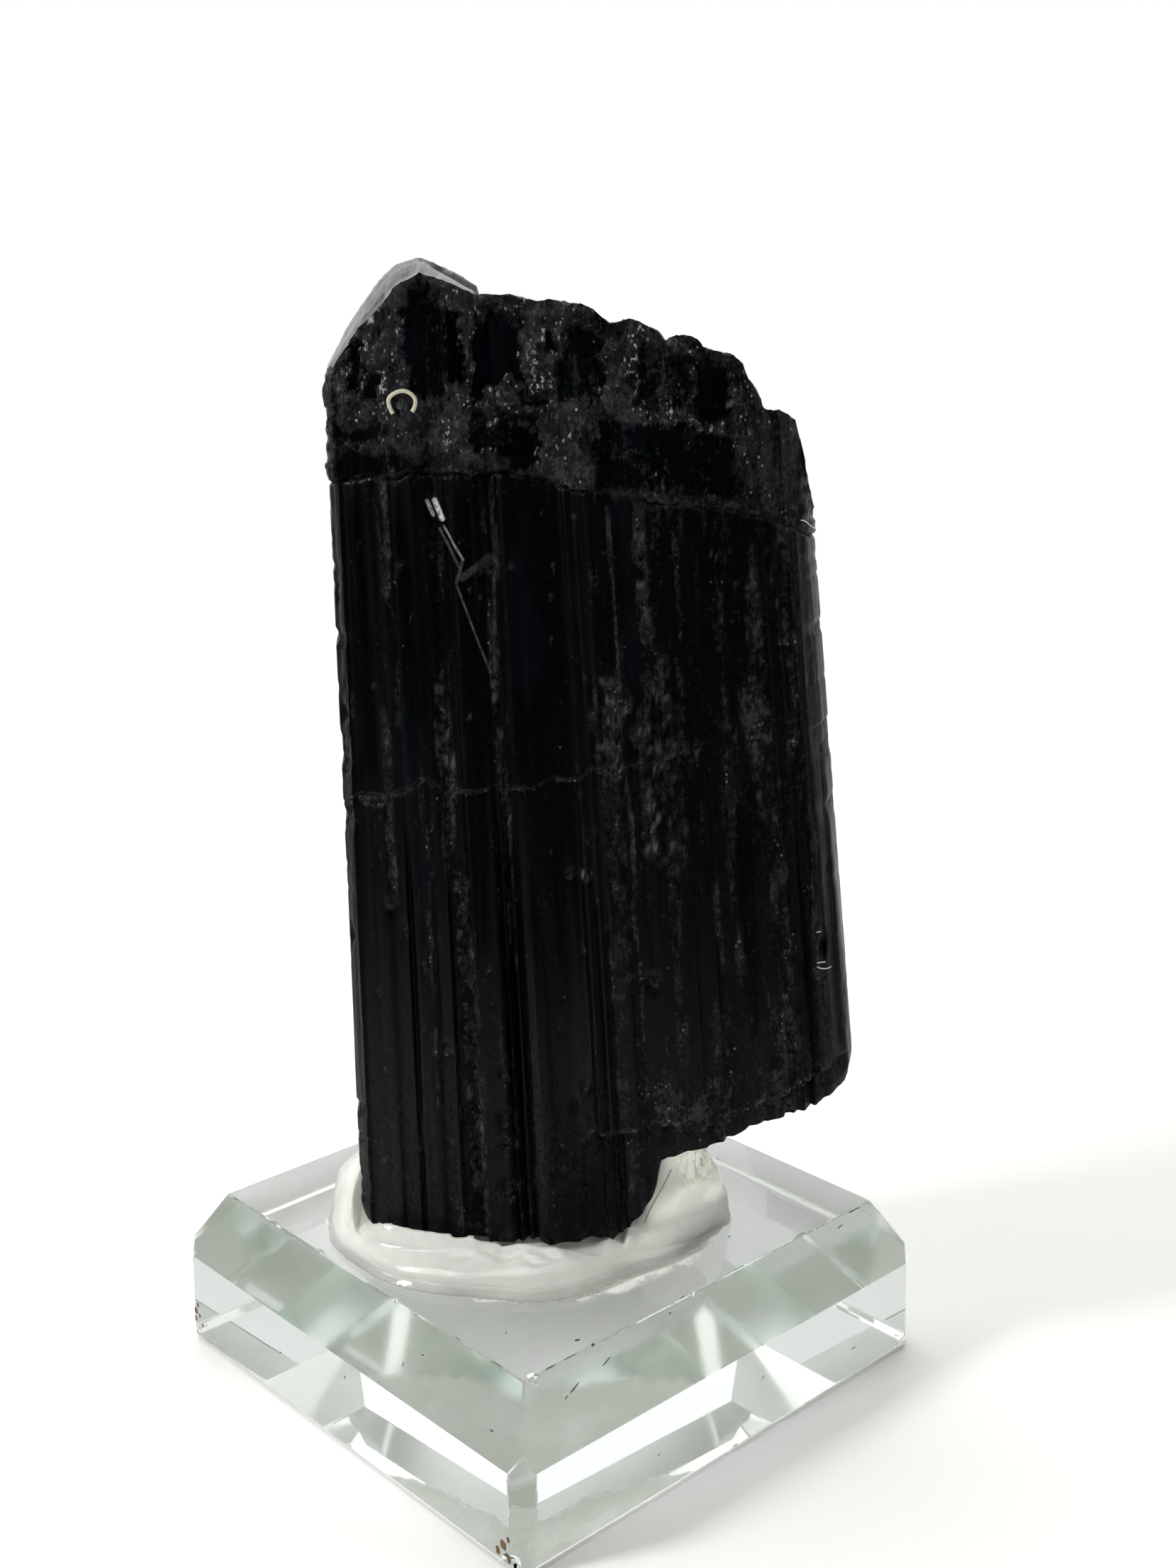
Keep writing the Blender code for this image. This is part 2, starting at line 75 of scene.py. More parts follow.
# The same plan from the left end round the back to the right end.
BACK_LINE = [
    (-17.2, -2.6), (-16.9, -1.4), (-17.3, -0.8), (-16.8, 2.6), (-15.2, 5.3), (-15.2, 5.9), (-13.2, 8.3),
    (-12.6, 8.2), (-10.0, 9.7), (-9.6, 10.3), (-6.8, 10.8), (-6.4, 11.4), (-3.6, 12.0), (-1.1, 11.5),
    (-0.6, 12.2), (2.6, 12.3), (5.8, 11.5), (6.4, 12.1), (9.0, 11.4), (9.4, 12.0), (12.6, 11.5),
    (15.4, 10.5), (16.0, 10.9), (18.6, 9.4), (19.2, 9.9), (22.0, 8.6), (24.0, 6.6), (24.6, 7.0),
    (26.6, 5.0), (27.4, 3.2), (28.0, 3.0), (28.7, 0.6), (28.5, -0.6),
]

# Pointed termination: height of its crest and of its front edge against x, and its fall behind the crest.
TIP_CREST = [
    (-17.4, 93.6), (-16.3, 95.4), (-15.0, 97.7), (-13.2, 100.2), (-12.2, 101.5), (-10.8, 102.75),
    (-8.8, 103.25), (-7.7, 102.9), (-6.5, 102.3), (-4.3, 101.0), (-3.4, 100.3),
]
TIP_EDGE = [
    (-17.4, 93.0), (-15.6, 94.9), (-14.0, 96.9), (-13.0, 98.0), (-11.8, 99.0), (-10.1, 101.0),
    (-8.4, 101.95), (-6.8, 101.6), (-5.7, 101.2), (-4.3, 100.5), (-3.4, 100.2),
]
TIP_CREST_Y = -4.6
TIP_BACK_SLOPE = 0.55
TIP_END_X = -4.2

# Broken shoulder right of the termination, and the foot, both seen from the front.
SHOULDER = [
    (-3.6, 100.3), (-1.3, 100.3), (1.6, 99.8), (4.3, 99.5), (5.6, 99.1), (6.9, 98.0), (8.4, 98.3),
    (9.9, 97.9), (10.9, 97.2), (11.4, 96.5), (12.3, 97.0), (14.0, 96.7), (14.6, 96.1), (16.8, 95.5),
    (17.7, 94.6), (18.0, 93.6), (18.9, 92.9), (19.4, 91.6), (20.9, 91.0), (22.2, 90.2), (22.8, 88.8),
    (22.9, 87.4), (23.3, 86.3), (23.6, 85.2), (24.1, 83.9), (24.4, 80.0), (26.5, 74.0), (31.0, 70.0),
]
SHOULDER_BACK_SLOPE = 0.16
FOOT = [
    (-19.0, 19.6), (-17.0, 18.2), (-16.2, 17.2), (-14.6, 16.9), (-12.4, 16.9), (-10.2, 16.6), (-8.0, 16.6),
    (-6.2, 16.9), (-4.6, 16.8), (-2.6, 17.1), (0.4, 17.2), (1.8, 16.9), (5.2, 16.8), (6.6, 17.5),
    (8.3, 18.9), (9.7, 20.2), (10.5, 21.6), (10.9, 23.2), (11.0, 25.0), (11.9, 25.4), (13.4, 25.9),
    (15.8, 26.4), (18.3, 26.9), (19.3, 27.8), (22.8, 27.9), (25.0, 28.1), (26.6, 28.6), (27.9, 29.5),
    (28.7, 31.2), (29.4, 34.5),
]
FOOT_BACK_RISE = 0.05

# Lines across the front, as height against x: the ledge, the middle crack and the crack below the cap.
LEDGE = [
    (-18.0, 26.5), (3.9, 27.0), (4.6, 27.6), (7.6, 28.2), (9.7, 29.0), (13.2, 28.9), (16.3, 28.7),
    (17.4, 29.1), (18.3, 29.6), (20.0, 30.4), (22.6, 30.6), (24.7, 31.4), (26.5, 32.2), (30.5, 34.0),
]
MIDDLE_CRACK = [
    (-18.0, 57.2), (-15.9, 57.8), (-13.7, 58.5), (-11.1, 58.8), (-9.2, 60.3), (-7.3, 58.9), (-6.0, 59.2),
    (-1.6, 59.7), (1.6, 60.0), (4.1, 60.5), (5.0, 61.3), (6.9, 61.0), (8.5, 61.6), (11.0, 62.3),
    (12.9, 62.8), (14.7, 63.3), (30.0, 64.0),
]
CAP_CRACK = [
    (-18.0, 85.0), (-12.1, 85.7), (-9.4, 86.1), (-4.7, 86.0), (-0.8, 86.3), (1.5, 85.6), (4.4, 84.6),
    (9.1, 84.2), (12.0, 83.4), (15.9, 83.3), (19.4, 82.3), (21.8, 81.2), (24.6, 79.6), (30.0, 76.0),
]
UPPER_CRACK = [
    (-18.0, 88.2), (-13.1, 88.4), (-11.6, 89.3), (-8.4, 89.8), (-4.0, 90.2), (0.4, 91.7), (3.3, 91.9),
    (5.1, 91.2), (7.1, 90.8), (10.0, 91.4), (12.3, 90.7), (14.0, 90.2),
]
LEDGE_DEPTH = 1.0

# Smooth dark faces in the broken cap, seen from the front: outline, how far it lies back, how clean it is.
CAP_WINDOWS = [
    ([(-4.3, 93.5), (-0.2, 93.4), (-0.2, 96.6), (-0.6, 97.6), (-1.4, 98.8), (-3.1, 98.8), (-4.2, 96.7)],
     0.75, 0.97),
    ([(-4.4, 91.7), (-3.4, 91.9), (-3.1, 93.8), (-4.3, 93.8)], 0.3, 0.85),
    ([(3.0, 92.0), (6.3, 91.9), (6.5, 97.0), (4.6, 97.5), (3.1, 97.2)], 0.45, 0.52),
    ([(9.2, 91.2), (13.7, 91.0), (13.9, 95.6), (9.4, 95.9)], 0.35, 0.30),
    ([(-8.9, 92.0), (-6.5, 92.0), (-6.3, 97.9), (-7.6, 101.0), (-9.1, 101.0), (-9.9, 97.9)], 0.25, 0.60),
    ([(-6.1, 93.4), (-5.1, 93.3), (-5.0, 98.8), (-6.0, 98.9)], 0.9, 0.95),
    ([(-4.2, 87.8), (1.0, 87.8), (1.2, 90.7), (-4.0, 90.9)], 0.30, 0.55),
    ([(-1.3, 86.6), (0.9, 86.5), (1.0, 89.8), (-1.2, 89.9)], 0.45, 0.8),
    ([(6.0, 84.9), (17.6, 84.0), (17.2, 90.2), (12.3, 90.2), (10.0, 90.9), (5.9, 90.5)], 0.0, 0.50),
    ([(14.2, 90.2), (16.5, 90.0), (16.3, 94.4), (14.1, 95.0)], 0.15, 0.85),
    ([(-14.3, 92.5), (-13.4, 92.4), (-13.2, 96.4), (-14.1, 96.6)], 0.5, 0.85),
    ([(-12.9, 92.2), (-11.9, 92.2), (-11.9, 94.4), (-12.7, 94.5)], 0.3, 0.75),
    ([(-15.5, 88.4), (-11.3, 88.4), (-11.2, 89.7), (-15.3, 89.8)], 0.15, 0.8),
    ([(-15.5, 85.5), (-11.4, 85.7), (-11.3, 87.8), (-15.4, 87.9)], 0.2, 0.9),
    ([(-11.0, 86.4), (-8.3, 86.4), (-8.3, 87.7), (-10.9, 87.8)], 0.1, 0.6),
    ([(-0.1, 91.5), (1.5, 91.4), (1.5, 92.4), (0.0, 92.6)], 0.3, 0.8),
    ([(1.9, 95.5), (2.7, 95.5), (2.5, 97.5), (1.8, 97.4)], 0.3, 0.8),
]
# The rounded lump that overhangs the dark face below the cap crack.
CAP_LUMP = [(1.4, 85.9), (3.0, 85.1), (5.4, 84.6), (6.2, 86.9), (5.6, 88.6), (3.9, 89.5), (1.6, 89.0)]

# Rough upright streaks in rib coordinates: place, half width, low, high, dust and pitting; the pits also get
# painted glints.
STREAKS = [
    (-11.2, 0.30, 76.0, 92.0, 0.45, 0.2), (-12.2, 0.45, 50.0, 66.0, 0.30, 0.4),
    (-6.7, 0.80, 60.0, 70.0, 0.50, 0.9), (-6.4, 0.55, 50.0, 61.0, 0.50, 0.8),
    (-5.7, 0.80, 16.0, 51.0, 0.55, 1.0), (-1.1, 0.35, 78.0, 84.0, 0.30, 0.3),
    (-1.7, 0.50, 62.0, 75.0, 0.45, 0.8), (-1.5, 0.45, 44.0, 62.0, 0.45, 0.8),
    (9.4, 0.16, 66.0, 83.0, 0.65, 0.0), (12.1, 0.60, 72.0, 84.0, 0.35, 0.4),
    (8.3, 1.20, 61.5, 68.5, 0.70, 1.0), (8.3, 1.30, 26.0, 61.0, 0.18, 0.1),
    (9.7, 0.16, 28.0, 61.0, 0.60, 0.1), (12.6, 2.20, 53.0, 68.0, 0.22, 0.6),
    (13.2, 0.60, 36.0, 56.0, 0.35, 0.3), (17.1, 0.30, 29.0, 52.0, 0.35, 0.1),
    (22.1, 0.80, 57.0, 79.0, 0.40, 0.4), (23.0, 0.60, 34.0, 57.0, 0.30, 0.2),
    (-8.7, 0.30, 30.0, 56.0, 0.25, 0.3), (18.9, 0.35, 55.0, 80.0, 0.20, 0.3),
    (25.2, 0.40, 58.0, 82.0, 0.25, 0.3), (15.1, 0.35, 66.0, 82.0, 0.25, 0.3),
]
# Ribs and hollows that stay smooth and shiny: place, half width, low and high.
SHINY = [
    (0.4, 0.65, 16.0, 50.0), (3.4, 1.9, 30.0, 84.0), (-9.6, 0.8, 62.0, 82.0), (-3.9, 0.9, 45.0, 84.0),
    (19.7, 0.9, 38.0, 56.0), (-14.0, 1.2, 60.0, 84.0), (27.4, 1.3, 34.0, 76.0), (0.3, 0.7, 62.0, 84.0),
]
# Single bruises on the front: x, z, half width, half height, depth and dust; the dustiest also get a painted
# glint.
BRUISES = [
    (-16.4, 65.4, 0.6, 0.7, 0.45, 0.7), (-16.4, 61.0, 0.5, 0.5, 0.35, 0.5),
    (-16.4, 56.9, 0.8, 0.7, 0.55, 0.8), (-16.6, 45.4, 0.6, 0.9, 0.45, 0.7),
    (-16.5, 75.5, 0.4, 0.6, 0.30, 0.5), (-12.6, 48.4, 1.0, 0.5, 0.30, 0.6),
    (-11.3, 46.6, 0.4, 0.9, 0.22, 0.5), (-13.6, 58.0, 1.6, 0.5, 0.35, 0.7),
    (-10.9, 78.4, 0.6, 0.5, 0.25, 0.7), (-3.1, 78.3, 1.0, 0.9, 0.40, 0.8),
    (-1.3, 78.6, 0.5, 0.5, 0.25, 0.6), (3.3, 51.6, 0.9, 0.4, 0.16, 0.7), (4.9, 51.9, 0.9, 0.3, 0.20, 1.0),
    (11.0, 70.2, 0.8, 2.4, 0.18, 0.5), (8.2, 67.0, 0.7, 0.6, 0.45, 1.0), (8.9, 64.2, 0.8, 0.7, 0.40, 0.9),
    (10.4, 42.6, 0.9, 0.7, 0.40, 0.5), (7.4, 22.9, 0.8, 0.5, 0.30, 0.1), (4.6, 32.7, 0.9, 0.9, 0.25, 0.2),
    (3.4, 30.6, 0.7, 0.6, 0.25, 0.2), (-2.1, 22.8, 1.4, 0.7, 0.55, 0.3), (-2.5, 26.8, 1.0, 0.6, 0.35, 0.5),
    (-2.8, 29.2, 0.9, 0.7, 0.35, 0.4), (-3.0, 34.2, 0.5, 0.4, 0.30, 0.2), (-7.6, 35.6, 0.8, 0.6, 0.25, 0.6),
    (-5.3, 37.8, 0.7, 0.6, 0.35, 0.8), (25.4, 44.0, 0.45, 0.9, 0.30, 0.0),
    (16.6, 91.5, 0.4, 0.4, 0.25, 1.0), (25.2, 82.6, 0.6, 0.8, 0.35, 0.8), (17.9, 90.6, 0.5, 0.6, 0.30, 0.7),
]
# Painted highlights on fine scratches and a flake's rims on the front: two ends as (x, z), half width and
# brightness.
SCRATCH_HIGHLIGHTS = [
    ((-8.2, 83.9), (-7.75, 82.7), 0.17, 0.70), ((-7.6, 83.9), (-7.0, 82.4), 0.25, 1.0),
    ((-6.9, 81.8), (-5.3, 79.1), 0.12, 0.34), ((-7.25, 81.6), (-5.65, 78.5), 0.14, 0.09),
    ((-5.3, 79.1), (-5.9, 77.2), 0.16, 0.08), ((-5.9, 77.0), (-3.25, 69.6), 0.11, 0.10),
    ((-5.4, 77.6), (-3.2, 79.2), 0.35, 0.045), ((-2.8, 79.5), (-2.9, 69.6), 0.18, 0.04),
]

# Mesh of the crystal's skin.
FRONT_COLUMNS = 281
BACK_COLUMNS = 141
KNOT_STEPS = (0.12, 0.26, 0.45, 0.72)
SECTION_ROWS = (20, 52, 45, 40)
TOP_ROWS = 40
FOOT_ROWS = 9
# How far the back and the two ends are moved aside on the UV map.
BACK_UV_SHIFT = 90.0
END_UV_SHIFT = 200.0

# Glass base: half its side, its height, where the top bevel starts, and the bevel's rise and inset.
HALF_SIDE = 25.4
TOP = 15.4
BEVEL_FOOT = 9.3
BEVEL_RISE = 6.1
BEVEL_INSET = 3.4
# Its cut corners at the foot and at the bevel, its lower chamfer and the rounding of its edges.
CORNER_CUT_LOW = 0.95
CORNER_CUT_HIGH = 1.2
FOOT_CHAMFER = 0.5
EDGE_ROUND = 0.14
# Patch of the top that the adhesive clouds: its middle and its reach in x and y.
BOND_PATCH = (-1.6, -2.2, 19.2, 17.3)
# Chips out of its edges: place and radius.
CHIPS = [
    ((0.9, -30.6, 15.5), 0.75), ((-0.6, -31.2, 15.5), 0.40), ((-1.3, -34.4, 0.3), 1.1),
    ((-34.6, 1.2, 0.4), 0.8), ((-34.7, -0.9, 9.3), 0.5), ((13.8, -17.4, 15.5), 0.35),
    ((-12.2, -19.0, 15.55), 0.38), ((31.2, 0.3, 15.5), 0.45), ((17.7, -17.9, 0.1), 0.5),
    ((-19.6, -16.0, 0.1), 0.45), ((34.5, 0.5, 0.3), 0.7), ((6.0, -29.6, 0.05), 0.45),
]
# Dark flecks and short scratches on the base: centre, direction, length and width.
FLECKS = [
    ((4.2, -29.0, 13.3), (0.7, 0.55, 0.45), 1.5, 0.16), ((7.0, -26.2, 13.9), (0.7, 0.6, 0.4), 1.2, 0.14),
    ((3.3, -29.6, 13.0), (0.7, 0.5, 0.5), 0.5, 0.12), ((-1.9, -31.0, 11.2), (0.6, -0.6, 0.1), 0.5, 0.16),
    ((5.4, -25.7, 15.42), (0.7, 0.7, 0.0), 0.4, 0.3), ((3.6, -27.5, 15.42), (0.7, 0.7, 0.0), 1.6, 0.1),
    ((2.0, -29.1, 15.42), (0.7, 0.7, 0.0), 1.2, 0.14), ((-2.4, -28.7, 15.42), (0.7, -0.7, 0.0), 1.6, 0.1),
    ((-6.0, -25.0, 15.42), (0.7, -0.7, 0.0), 0.8, 0.1), ((4.1, -25.0, 15.42), (1.0, 0.3, 0.0), 0.7, 0.2),
    ((-11.6, -23.6, 11.6), (0.2, 0.2, 1.0), 0.5, 0.14), ((-9.6, -24.2, 13.0), (0.7, -0.5, 0.4), 0.3, 0.15),
    ((13.0, -18.0, 15.42), (0.7, 0.7, 0.0), 1.0, 0.1), ((24.0, -6.8, 15.42), (0.7, 0.7, 0.0), 1.3, 0.12),
    ((29.5, -2.0, 15.42), (0.7, 0.7, 0.0), 1.8, 0.14), ((28.0, -3.8, 14.6), (0.7, 0.6, 0.2), 0.9, 0.12),
    ((-20.0, -10.8, 15.42), (0.7, -0.7, 0.0), 1.4, 0.1), ((-25.3, -5.6, 15.42), (0.7, -0.7, 0.0), 0.8, 0.1),
    ((-30.0, -1.2, 15.42), (0.7, -0.7, 0.0), 0.9, 0.12), ((-24.0, -11.6, 5.4), (0.7, -0.6, 0.3), 0.4, 0.14),
    ((10.9, -24.9, 4.4), (0.7, 0.6, 0.2), 0.4, 0.14), ((20.2, -15.6, 6.0), (0.4, 0.4, 0.8), 0.5, 0.12),
    ((29.2, -6.6, 3.4), (0.7, 0.7, 0.1), 0.7, 0.12), ((-16.8, -18.9, 7.6), (0.2, -0.2, 0.9), 0.6, 0.14),
    ((14.6, -8.2, 15.42), (1.0, 0.2, 0.0), 0.5, 0.14), ((17.4, -7.4, 15.42), (0.2, 1.0, 0.0), 0.4, 0.12),
    ((11.9, -20.6, 15.42), (0.6, 0.2, 0.0), 0.4, 0.12), ((-2.0, -24.0, 15.42), (0.3, 1.0, 0.0), 0.3, 0.12),
]
# Farthest that a mark may stand from the middle, in x and in y.
BOX_LIMIT = 34.96
# Rusty stains at two bottom corners: centre and radius.
STAINS = [
    ((-1.6, -34.1, 2.2), 0.55), ((-1.1, -34.5, 3.0), 0.30), ((-2.1, -33.6, 1.3), 0.42),
    ((-1.0, -34.5, 1.1), 0.36), ((-0.4, -34.95, 0.8), 0.28), ((-34.3, -1.3, 4.0), 0.30),
    ((-34.6, -1.0, 3.2), 0.42), ((-34.7, -0.9, 2.3), 0.34), ((-34.2, -1.5, 2.9), 0.24),
    ((-34.8, 0.3, 1.6), 0.30), ((-33.9, -1.8, 2.0), 0.2),
]

# Adhesive: middle of the pad, gap under it and how far its underside is let down onto the glass.
PAD_CENTRE = (-2.0, -2.0)
PAD_GAP = 0.012
PAD_SINK = 0.285
# Its film: thickness at the rim, what the flat part and the part at the foot add, and the rim's bead.
RIM_FILM = 0.30
FLAT_RISE = 0.55
FOOT_RISE = 0.75
BEAD = 0.20
# Height of the second layer's edge and of the crumpled folds in front of the foot.
LAYER_STEP = 0.32
CRUMPLE = 0.34
# Heights between which the film gives way to the raised tongue.
TONGUE_START = (17.9, 19.2)

# A pale fibre curled into an open ring on the cap, and loose hairs: points and thickness.
RING_CENTRE = (-9.95, 91.75)
RING_RADIUS = 1.10
RING_THICKNESS = 0.34
HAIR_THICKNESS = 0.10
DARK_HAIR_THICKNESS = 0.07
DARK_HAIR = [
    (9.6, -12.6, 19.6), (9.9, -13.1, 20.7), (10.4, -13.2, 21.9), (11.2, -12.7, 23.2), (12.0, -12.0, 24.6),
]
PALE_HAIRS = [
    [(22.8, -5.1, 81.5), (23.1, -4.7, 81.4), (23.65, -3.7, 80.9), (24.2, -2.35, 80.4)],
    [(24.9, -7.1, 42.45), (25.3, -6.8, 42.4), (25.7, -6.45, 42.3)],
    [(24.9, -7.2, 42.1), (25.4, -6.8, 41.8), (26.0, -6.15, 41.6), (26.3, -5.65, 41.55)],
    [(24.8, -7.0, 45.3), (25.2, -6.7, 45.27)],
]

# Floor and backdrop in one sweep, in metres.
SWEEP_NEAR = -1.6
SWEEP_LENGTH = 3.6
SWEEP_WIDTH = 4.0
BEND_START = 0.42
BEND_RADIUS = 0.45
FLOOR_DROP = 0.0001


def clear_selection():
    if bpy.context.object and bpy.context.object.mode != "OBJECT":
        bpy.ops.object.mode_set(mode="OBJECT")
    bpy.ops.object.select_all(action="DESELECT")


def make_active(piece):
    clear_selection()
    piece.select_set(True)
    bpy.context.view_layer.objects.active = piece


def new_piece(name, data):
    """Puts new mesh or curve data into the scene as the active piece."""
    piece = bpy.data.objects.new(name, data)
    bpy.context.scene.collection.objects.link(piece)
    make_active(piece)
    return piece


def paint(mesh, name, values):
    """Stores one number from 0 to 1 at every point, for the materials."""
    layer = mesh.attributes.new(name, "FLOAT", "POINT")
    layer.data.foreach_set("value", np.clip(values, 0.0, 1.0).astype(np.float32))


def apply_modifier(piece, kind, name, **values):
    """Adds a modifier with these values and applies it."""
    make_active(piece)
    modifier = piece.modifiers.new(name, kind)
    for key, value in values.items():
        setattr(modifier, key, value)
    bpy.ops.object.modifier_apply(modifier=name)


def settle(piece, material):
    """Gives a finished piece its material and ties it to the model."""
    piece.data.materials.clear()
    piece.data.materials.append(material)
    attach(piece, BODY)
    return piece


def ramp(low, high, value):
    """Smooth step from 0 to 1 between low and high."""
    t = np.clip((value - low) / (high - low), 0.0, 1.0)
    return t * t * (3.0 - 2.0 * t)


def fade(low, high, value):
    """Smooth step from 1 down to 0 between low and high."""
    return 1.0 - ramp(low, high, value)


def bell(offset, width):
    """Smooth bump: 1 where the offset is 0, falling away over the width."""
    return np.exp(-((offset / width) ** 2))


def on_line(line, x):
    """Height at x on a line of (x, height) points."""
    return np.interp(x, *np.array(line).T)


def chance(ix, iy, seed):
    """Repeatable numbers from 0 to 1, one for each pair of whole numbers."""
    n = (np.asarray(ix, np.int64) * 73856093) ^ (np.asarray(iy, np.int64) * 19349663) ^ (seed * 83492791)
    n = (n ^ (n >> 13)) & 0x7FFFFFFF
    n = (n * (n * n * 15731 + 789221) + 1376312589) & 0x7FFFFFFF
    return n / 0x7FFFFFFF


def soft_noise(x, y, seed):
    """Smooth noise from -1 to 1 that changes once per unit."""
    ix = np.floor(x).astype(np.int64)
    iy = np.floor(y).astype(np.int64)
    fx = x - ix
    fy = y - iy
    fx = fx * fx * (3.0 - 2.0 * fx)
    fy = fy * fy * (3.0 - 2.0 * fy)
    low = chance(ix, iy, seed) * (1 - fx) + chance(ix + 1, iy, seed) * fx
    high = chance(ix, iy + 1, seed) * (1 - fx) + chance(ix + 1, iy + 1, seed) * fx
    return 2.0 * (low * (1 - fy) + high * fy) - 1.0


def rough_noise(x, y, seed, layers=3):
    """Several sizes of smooth noise added up."""
    total = 0.0
    share = 1.0
    for layer in range(layers):
        total += share * soft_noise(x * 2.0**layer, y * 2.0**layer, seed + layer)
        share *= 0.55
    return total


def cells(x, y, seed):
    """Jittered cells: the nearest centre's own number and the distance to it."""
    ix = np.floor(x).astype(np.int64)
    iy = np.floor(y).astype(np.int64)
    best = np.full(np.shape(x), 9.0)
    number = np.zeros(np.shape(x))
    for dx in (-1, 0, 1):
        for dy in (-1, 0, 1):
            jx = ix + dx
            jy = iy + dy
            distance = np.hypot(
                jx + 0.15 + 0.7 * chance(jx, jy, seed) - x,
                jy + 0.15 + 0.7 * chance(jx, jy, seed + 1) - y,
            )
            near = distance < best
            best = np.where(near, distance, best)
            number = np.where(near, chance(jx, jy, seed + 2), number)
    return number, best


def inside(outline, x, z, soft):
    """1 inside a convex anticlockwise outline, falling to 0 over the soft width at its edge."""
    depth = np.full(np.shape(x), 99.0)
    for (x0, z0), (x1, z1) in zip(outline, outline[1:] + outline[:1]):
        length = math.hypot(x1 - x0, z1 - z0)
        depth = np.minimum(depth, ((x1 - x0) * (z - z0) - (z1 - z0) * (x - x0)) / length)
    return ramp(-soft, soft, depth)


def lean(z):
    return 1.0 - LEAN_PER_MM * (z - LEAN_START_Z)


def sample_line(line, count, front):
    """Evenly weighted points along a plan line, closer together on the broad front."""
    points = np.array(line)
    steps = np.linalg.norm(np.diff(points, axis=0), axis=1)
    travelled = np.concatenate([[0.0], np.cumsum(steps)])
    fine = np.linspace(0.0, travelled[-1], 6000)
    x = np.interp(fine, travelled, points[:, 0])
    y = np.interp(fine, travelled, points[:, 1])
    weight = np.where((y < -6.0) & front, 1.9, 1.0)
    total = np.concatenate([[0.0], np.cumsum(weight[1:])])
    wanted = np.linspace(0.0, total[-1], count)
    place = np.interp(wanted, total, fine)
    return np.interp(place, fine, x), np.interp(place, fine, y), place


def outward_normals(x, y, front):
    """Directions straight out from a plan line, evened out over its ribs."""
    window = np.ones(15) / 15.0
    smooth_x = np.convolve(np.pad(x, 7, mode="edge"), window, mode="valid")
    smooth_y = np.convolve(np.pad(y, 7, mode="edge"), window, mode="valid")
    across = np.gradient(smooth_x)
    along = np.gradient(smooth_y)
    length = np.hypot(across, along) + 1e-9
    side = 1.0 if front else -1.0
    return side * along / length, -side * across / length


def foot_height(x, y):
    behind = np.maximum(0.0, y + 9.6)
    lumps = 0.16 * rough_noise(x / 1.3 + 3.1, y / 1.3, 21) + 0.10
    return on_line(FOOT, x) + FOOT_BACK_RISE * behind + np.maximum(lumps, -0.05)


def toward_front(x, y):
    """Share of the way from the termination's crest, 0, to its front edge, 1."""
    wall = 0.87 * on_line(FRONT_LINE[4:], LEAN_EDGE_X + (x - LEAN_EDGE_X) / 0.87)
    wall = np.minimum(wall, TIP_CREST_Y - 1.2)
    return np.clip((TIP_CREST_Y - y) / (TIP_CREST_Y - wall), 0.0, 1.2)


def tip_height(x, y):
    """Height of the pointed termination, from its crest down to the front edge and to the back."""
    crest = on_line(TIP_CREST, x)
    edge = on_line(TIP_EDGE, x)
    toward = toward_front(x, y)
    middle = 0.20 + 0.22 * ramp(-8.8, -4.4, x)
    slot = bell(toward - middle, 0.15) * ramp(-8.8, -7.0, x)
    fall = (crest - edge) * toward + TIP_BACK_SLOPE * np.maximum(0.0, y - TIP_CREST_Y)
    return crest - fall - 0.42 * slot


def top_height(x, y):
    """Height of the crystal's top: the smooth termination on the left, broken steps on the right."""
    behind = np.maximum(0.0, y + 9.6)
    number, _ = cells(x / 1.9, y / 2.3, 31)
    steps = 0.75 * (number - 0.6) * ramp(0.2, 1.8, behind)
    lumps = steps + 0.17 * rough_noise(x / 1.1, y / 1.1, 35, 4)
    broken = on_line(SHOULDER, x) - SHOULDER_BACK_SLOPE * behind + lumps
    chipped = 0.22 * np.maximum(0.0, rough_noise(x / 1.6 + 9.0, y / 1.6, 39, 3) - 0.55)
    pointed = tip_height(x, y) - chipped
    share = ramp(TIP_END_X, TIP_END_X + 0.55, x)
    return pointed * (1.0 - share) + broken * share


def crossing(line, x0, seed, jag):
    """Heights at which the rib lines cross a jagged line of (x, z) points."""
    table = np.array(line).T
    z = np.full(np.shape(x0), table[1].mean())
    for _ in range(4):
        x = LEAN_EDGE_X + (x0 - LEAN_EDGE_X) * lean(z)
        wander = jag * rough_noise(x / 1.2, x * 0.0 + seed, seed, 3)
        z = np.interp(x, *table) + wander
    return z


def end_height(x0, y0, height_of, start):
    z = np.full(np.shape(x0), start)
    for _ in range(8):
        k = lean(z)
        z = 0.5 * z + 0.5 * height_of(LEAN_EDGE_X + (x0 - LEAN_EDGE_X) * k, y0 * k)
    return z


def row_heights(knots):
    """Rows from foot to top for every column, crowded next to the ledge and the cracks."""
    rows = []
    for low, high, count in zip(knots[:-1], knots[1:], SECTION_ROWS):
        length = high - low
        squeeze = np.minimum(1.0, length / 4.0)
        rows.append(low)
        rows.extend(low + step * squeeze for step in KNOT_STEPS)
        edge = KNOT_STEPS[-1] * squeeze
        for i in range(count):
            rows.append(low + edge + (length - 2.0 * edge) * (i + 1) / (count + 1))
        rows.extend(high - step * squeeze for step in reversed(KNOT_STEPS))
    rows.append(knots[-1])
    return np.array(rows).T


def stripe_relief(place, z, seed):
    """Fine upright grooves that start and stop along the crystal."""
    finest = 0.024 * soft_noise(place / 0.27, z / 8.0, seed + 1)
    fine = 0.034 * soft_noise(place / 0.42, z / 13.0, seed) + finest
    middle = 0.035 * soft_noise(place / 0.8, z / 22.0, seed + 3)
    broad = 0.060 * soft_noise(place / 1.3, z / 38.0, seed + 2) + middle
    return fine + broad


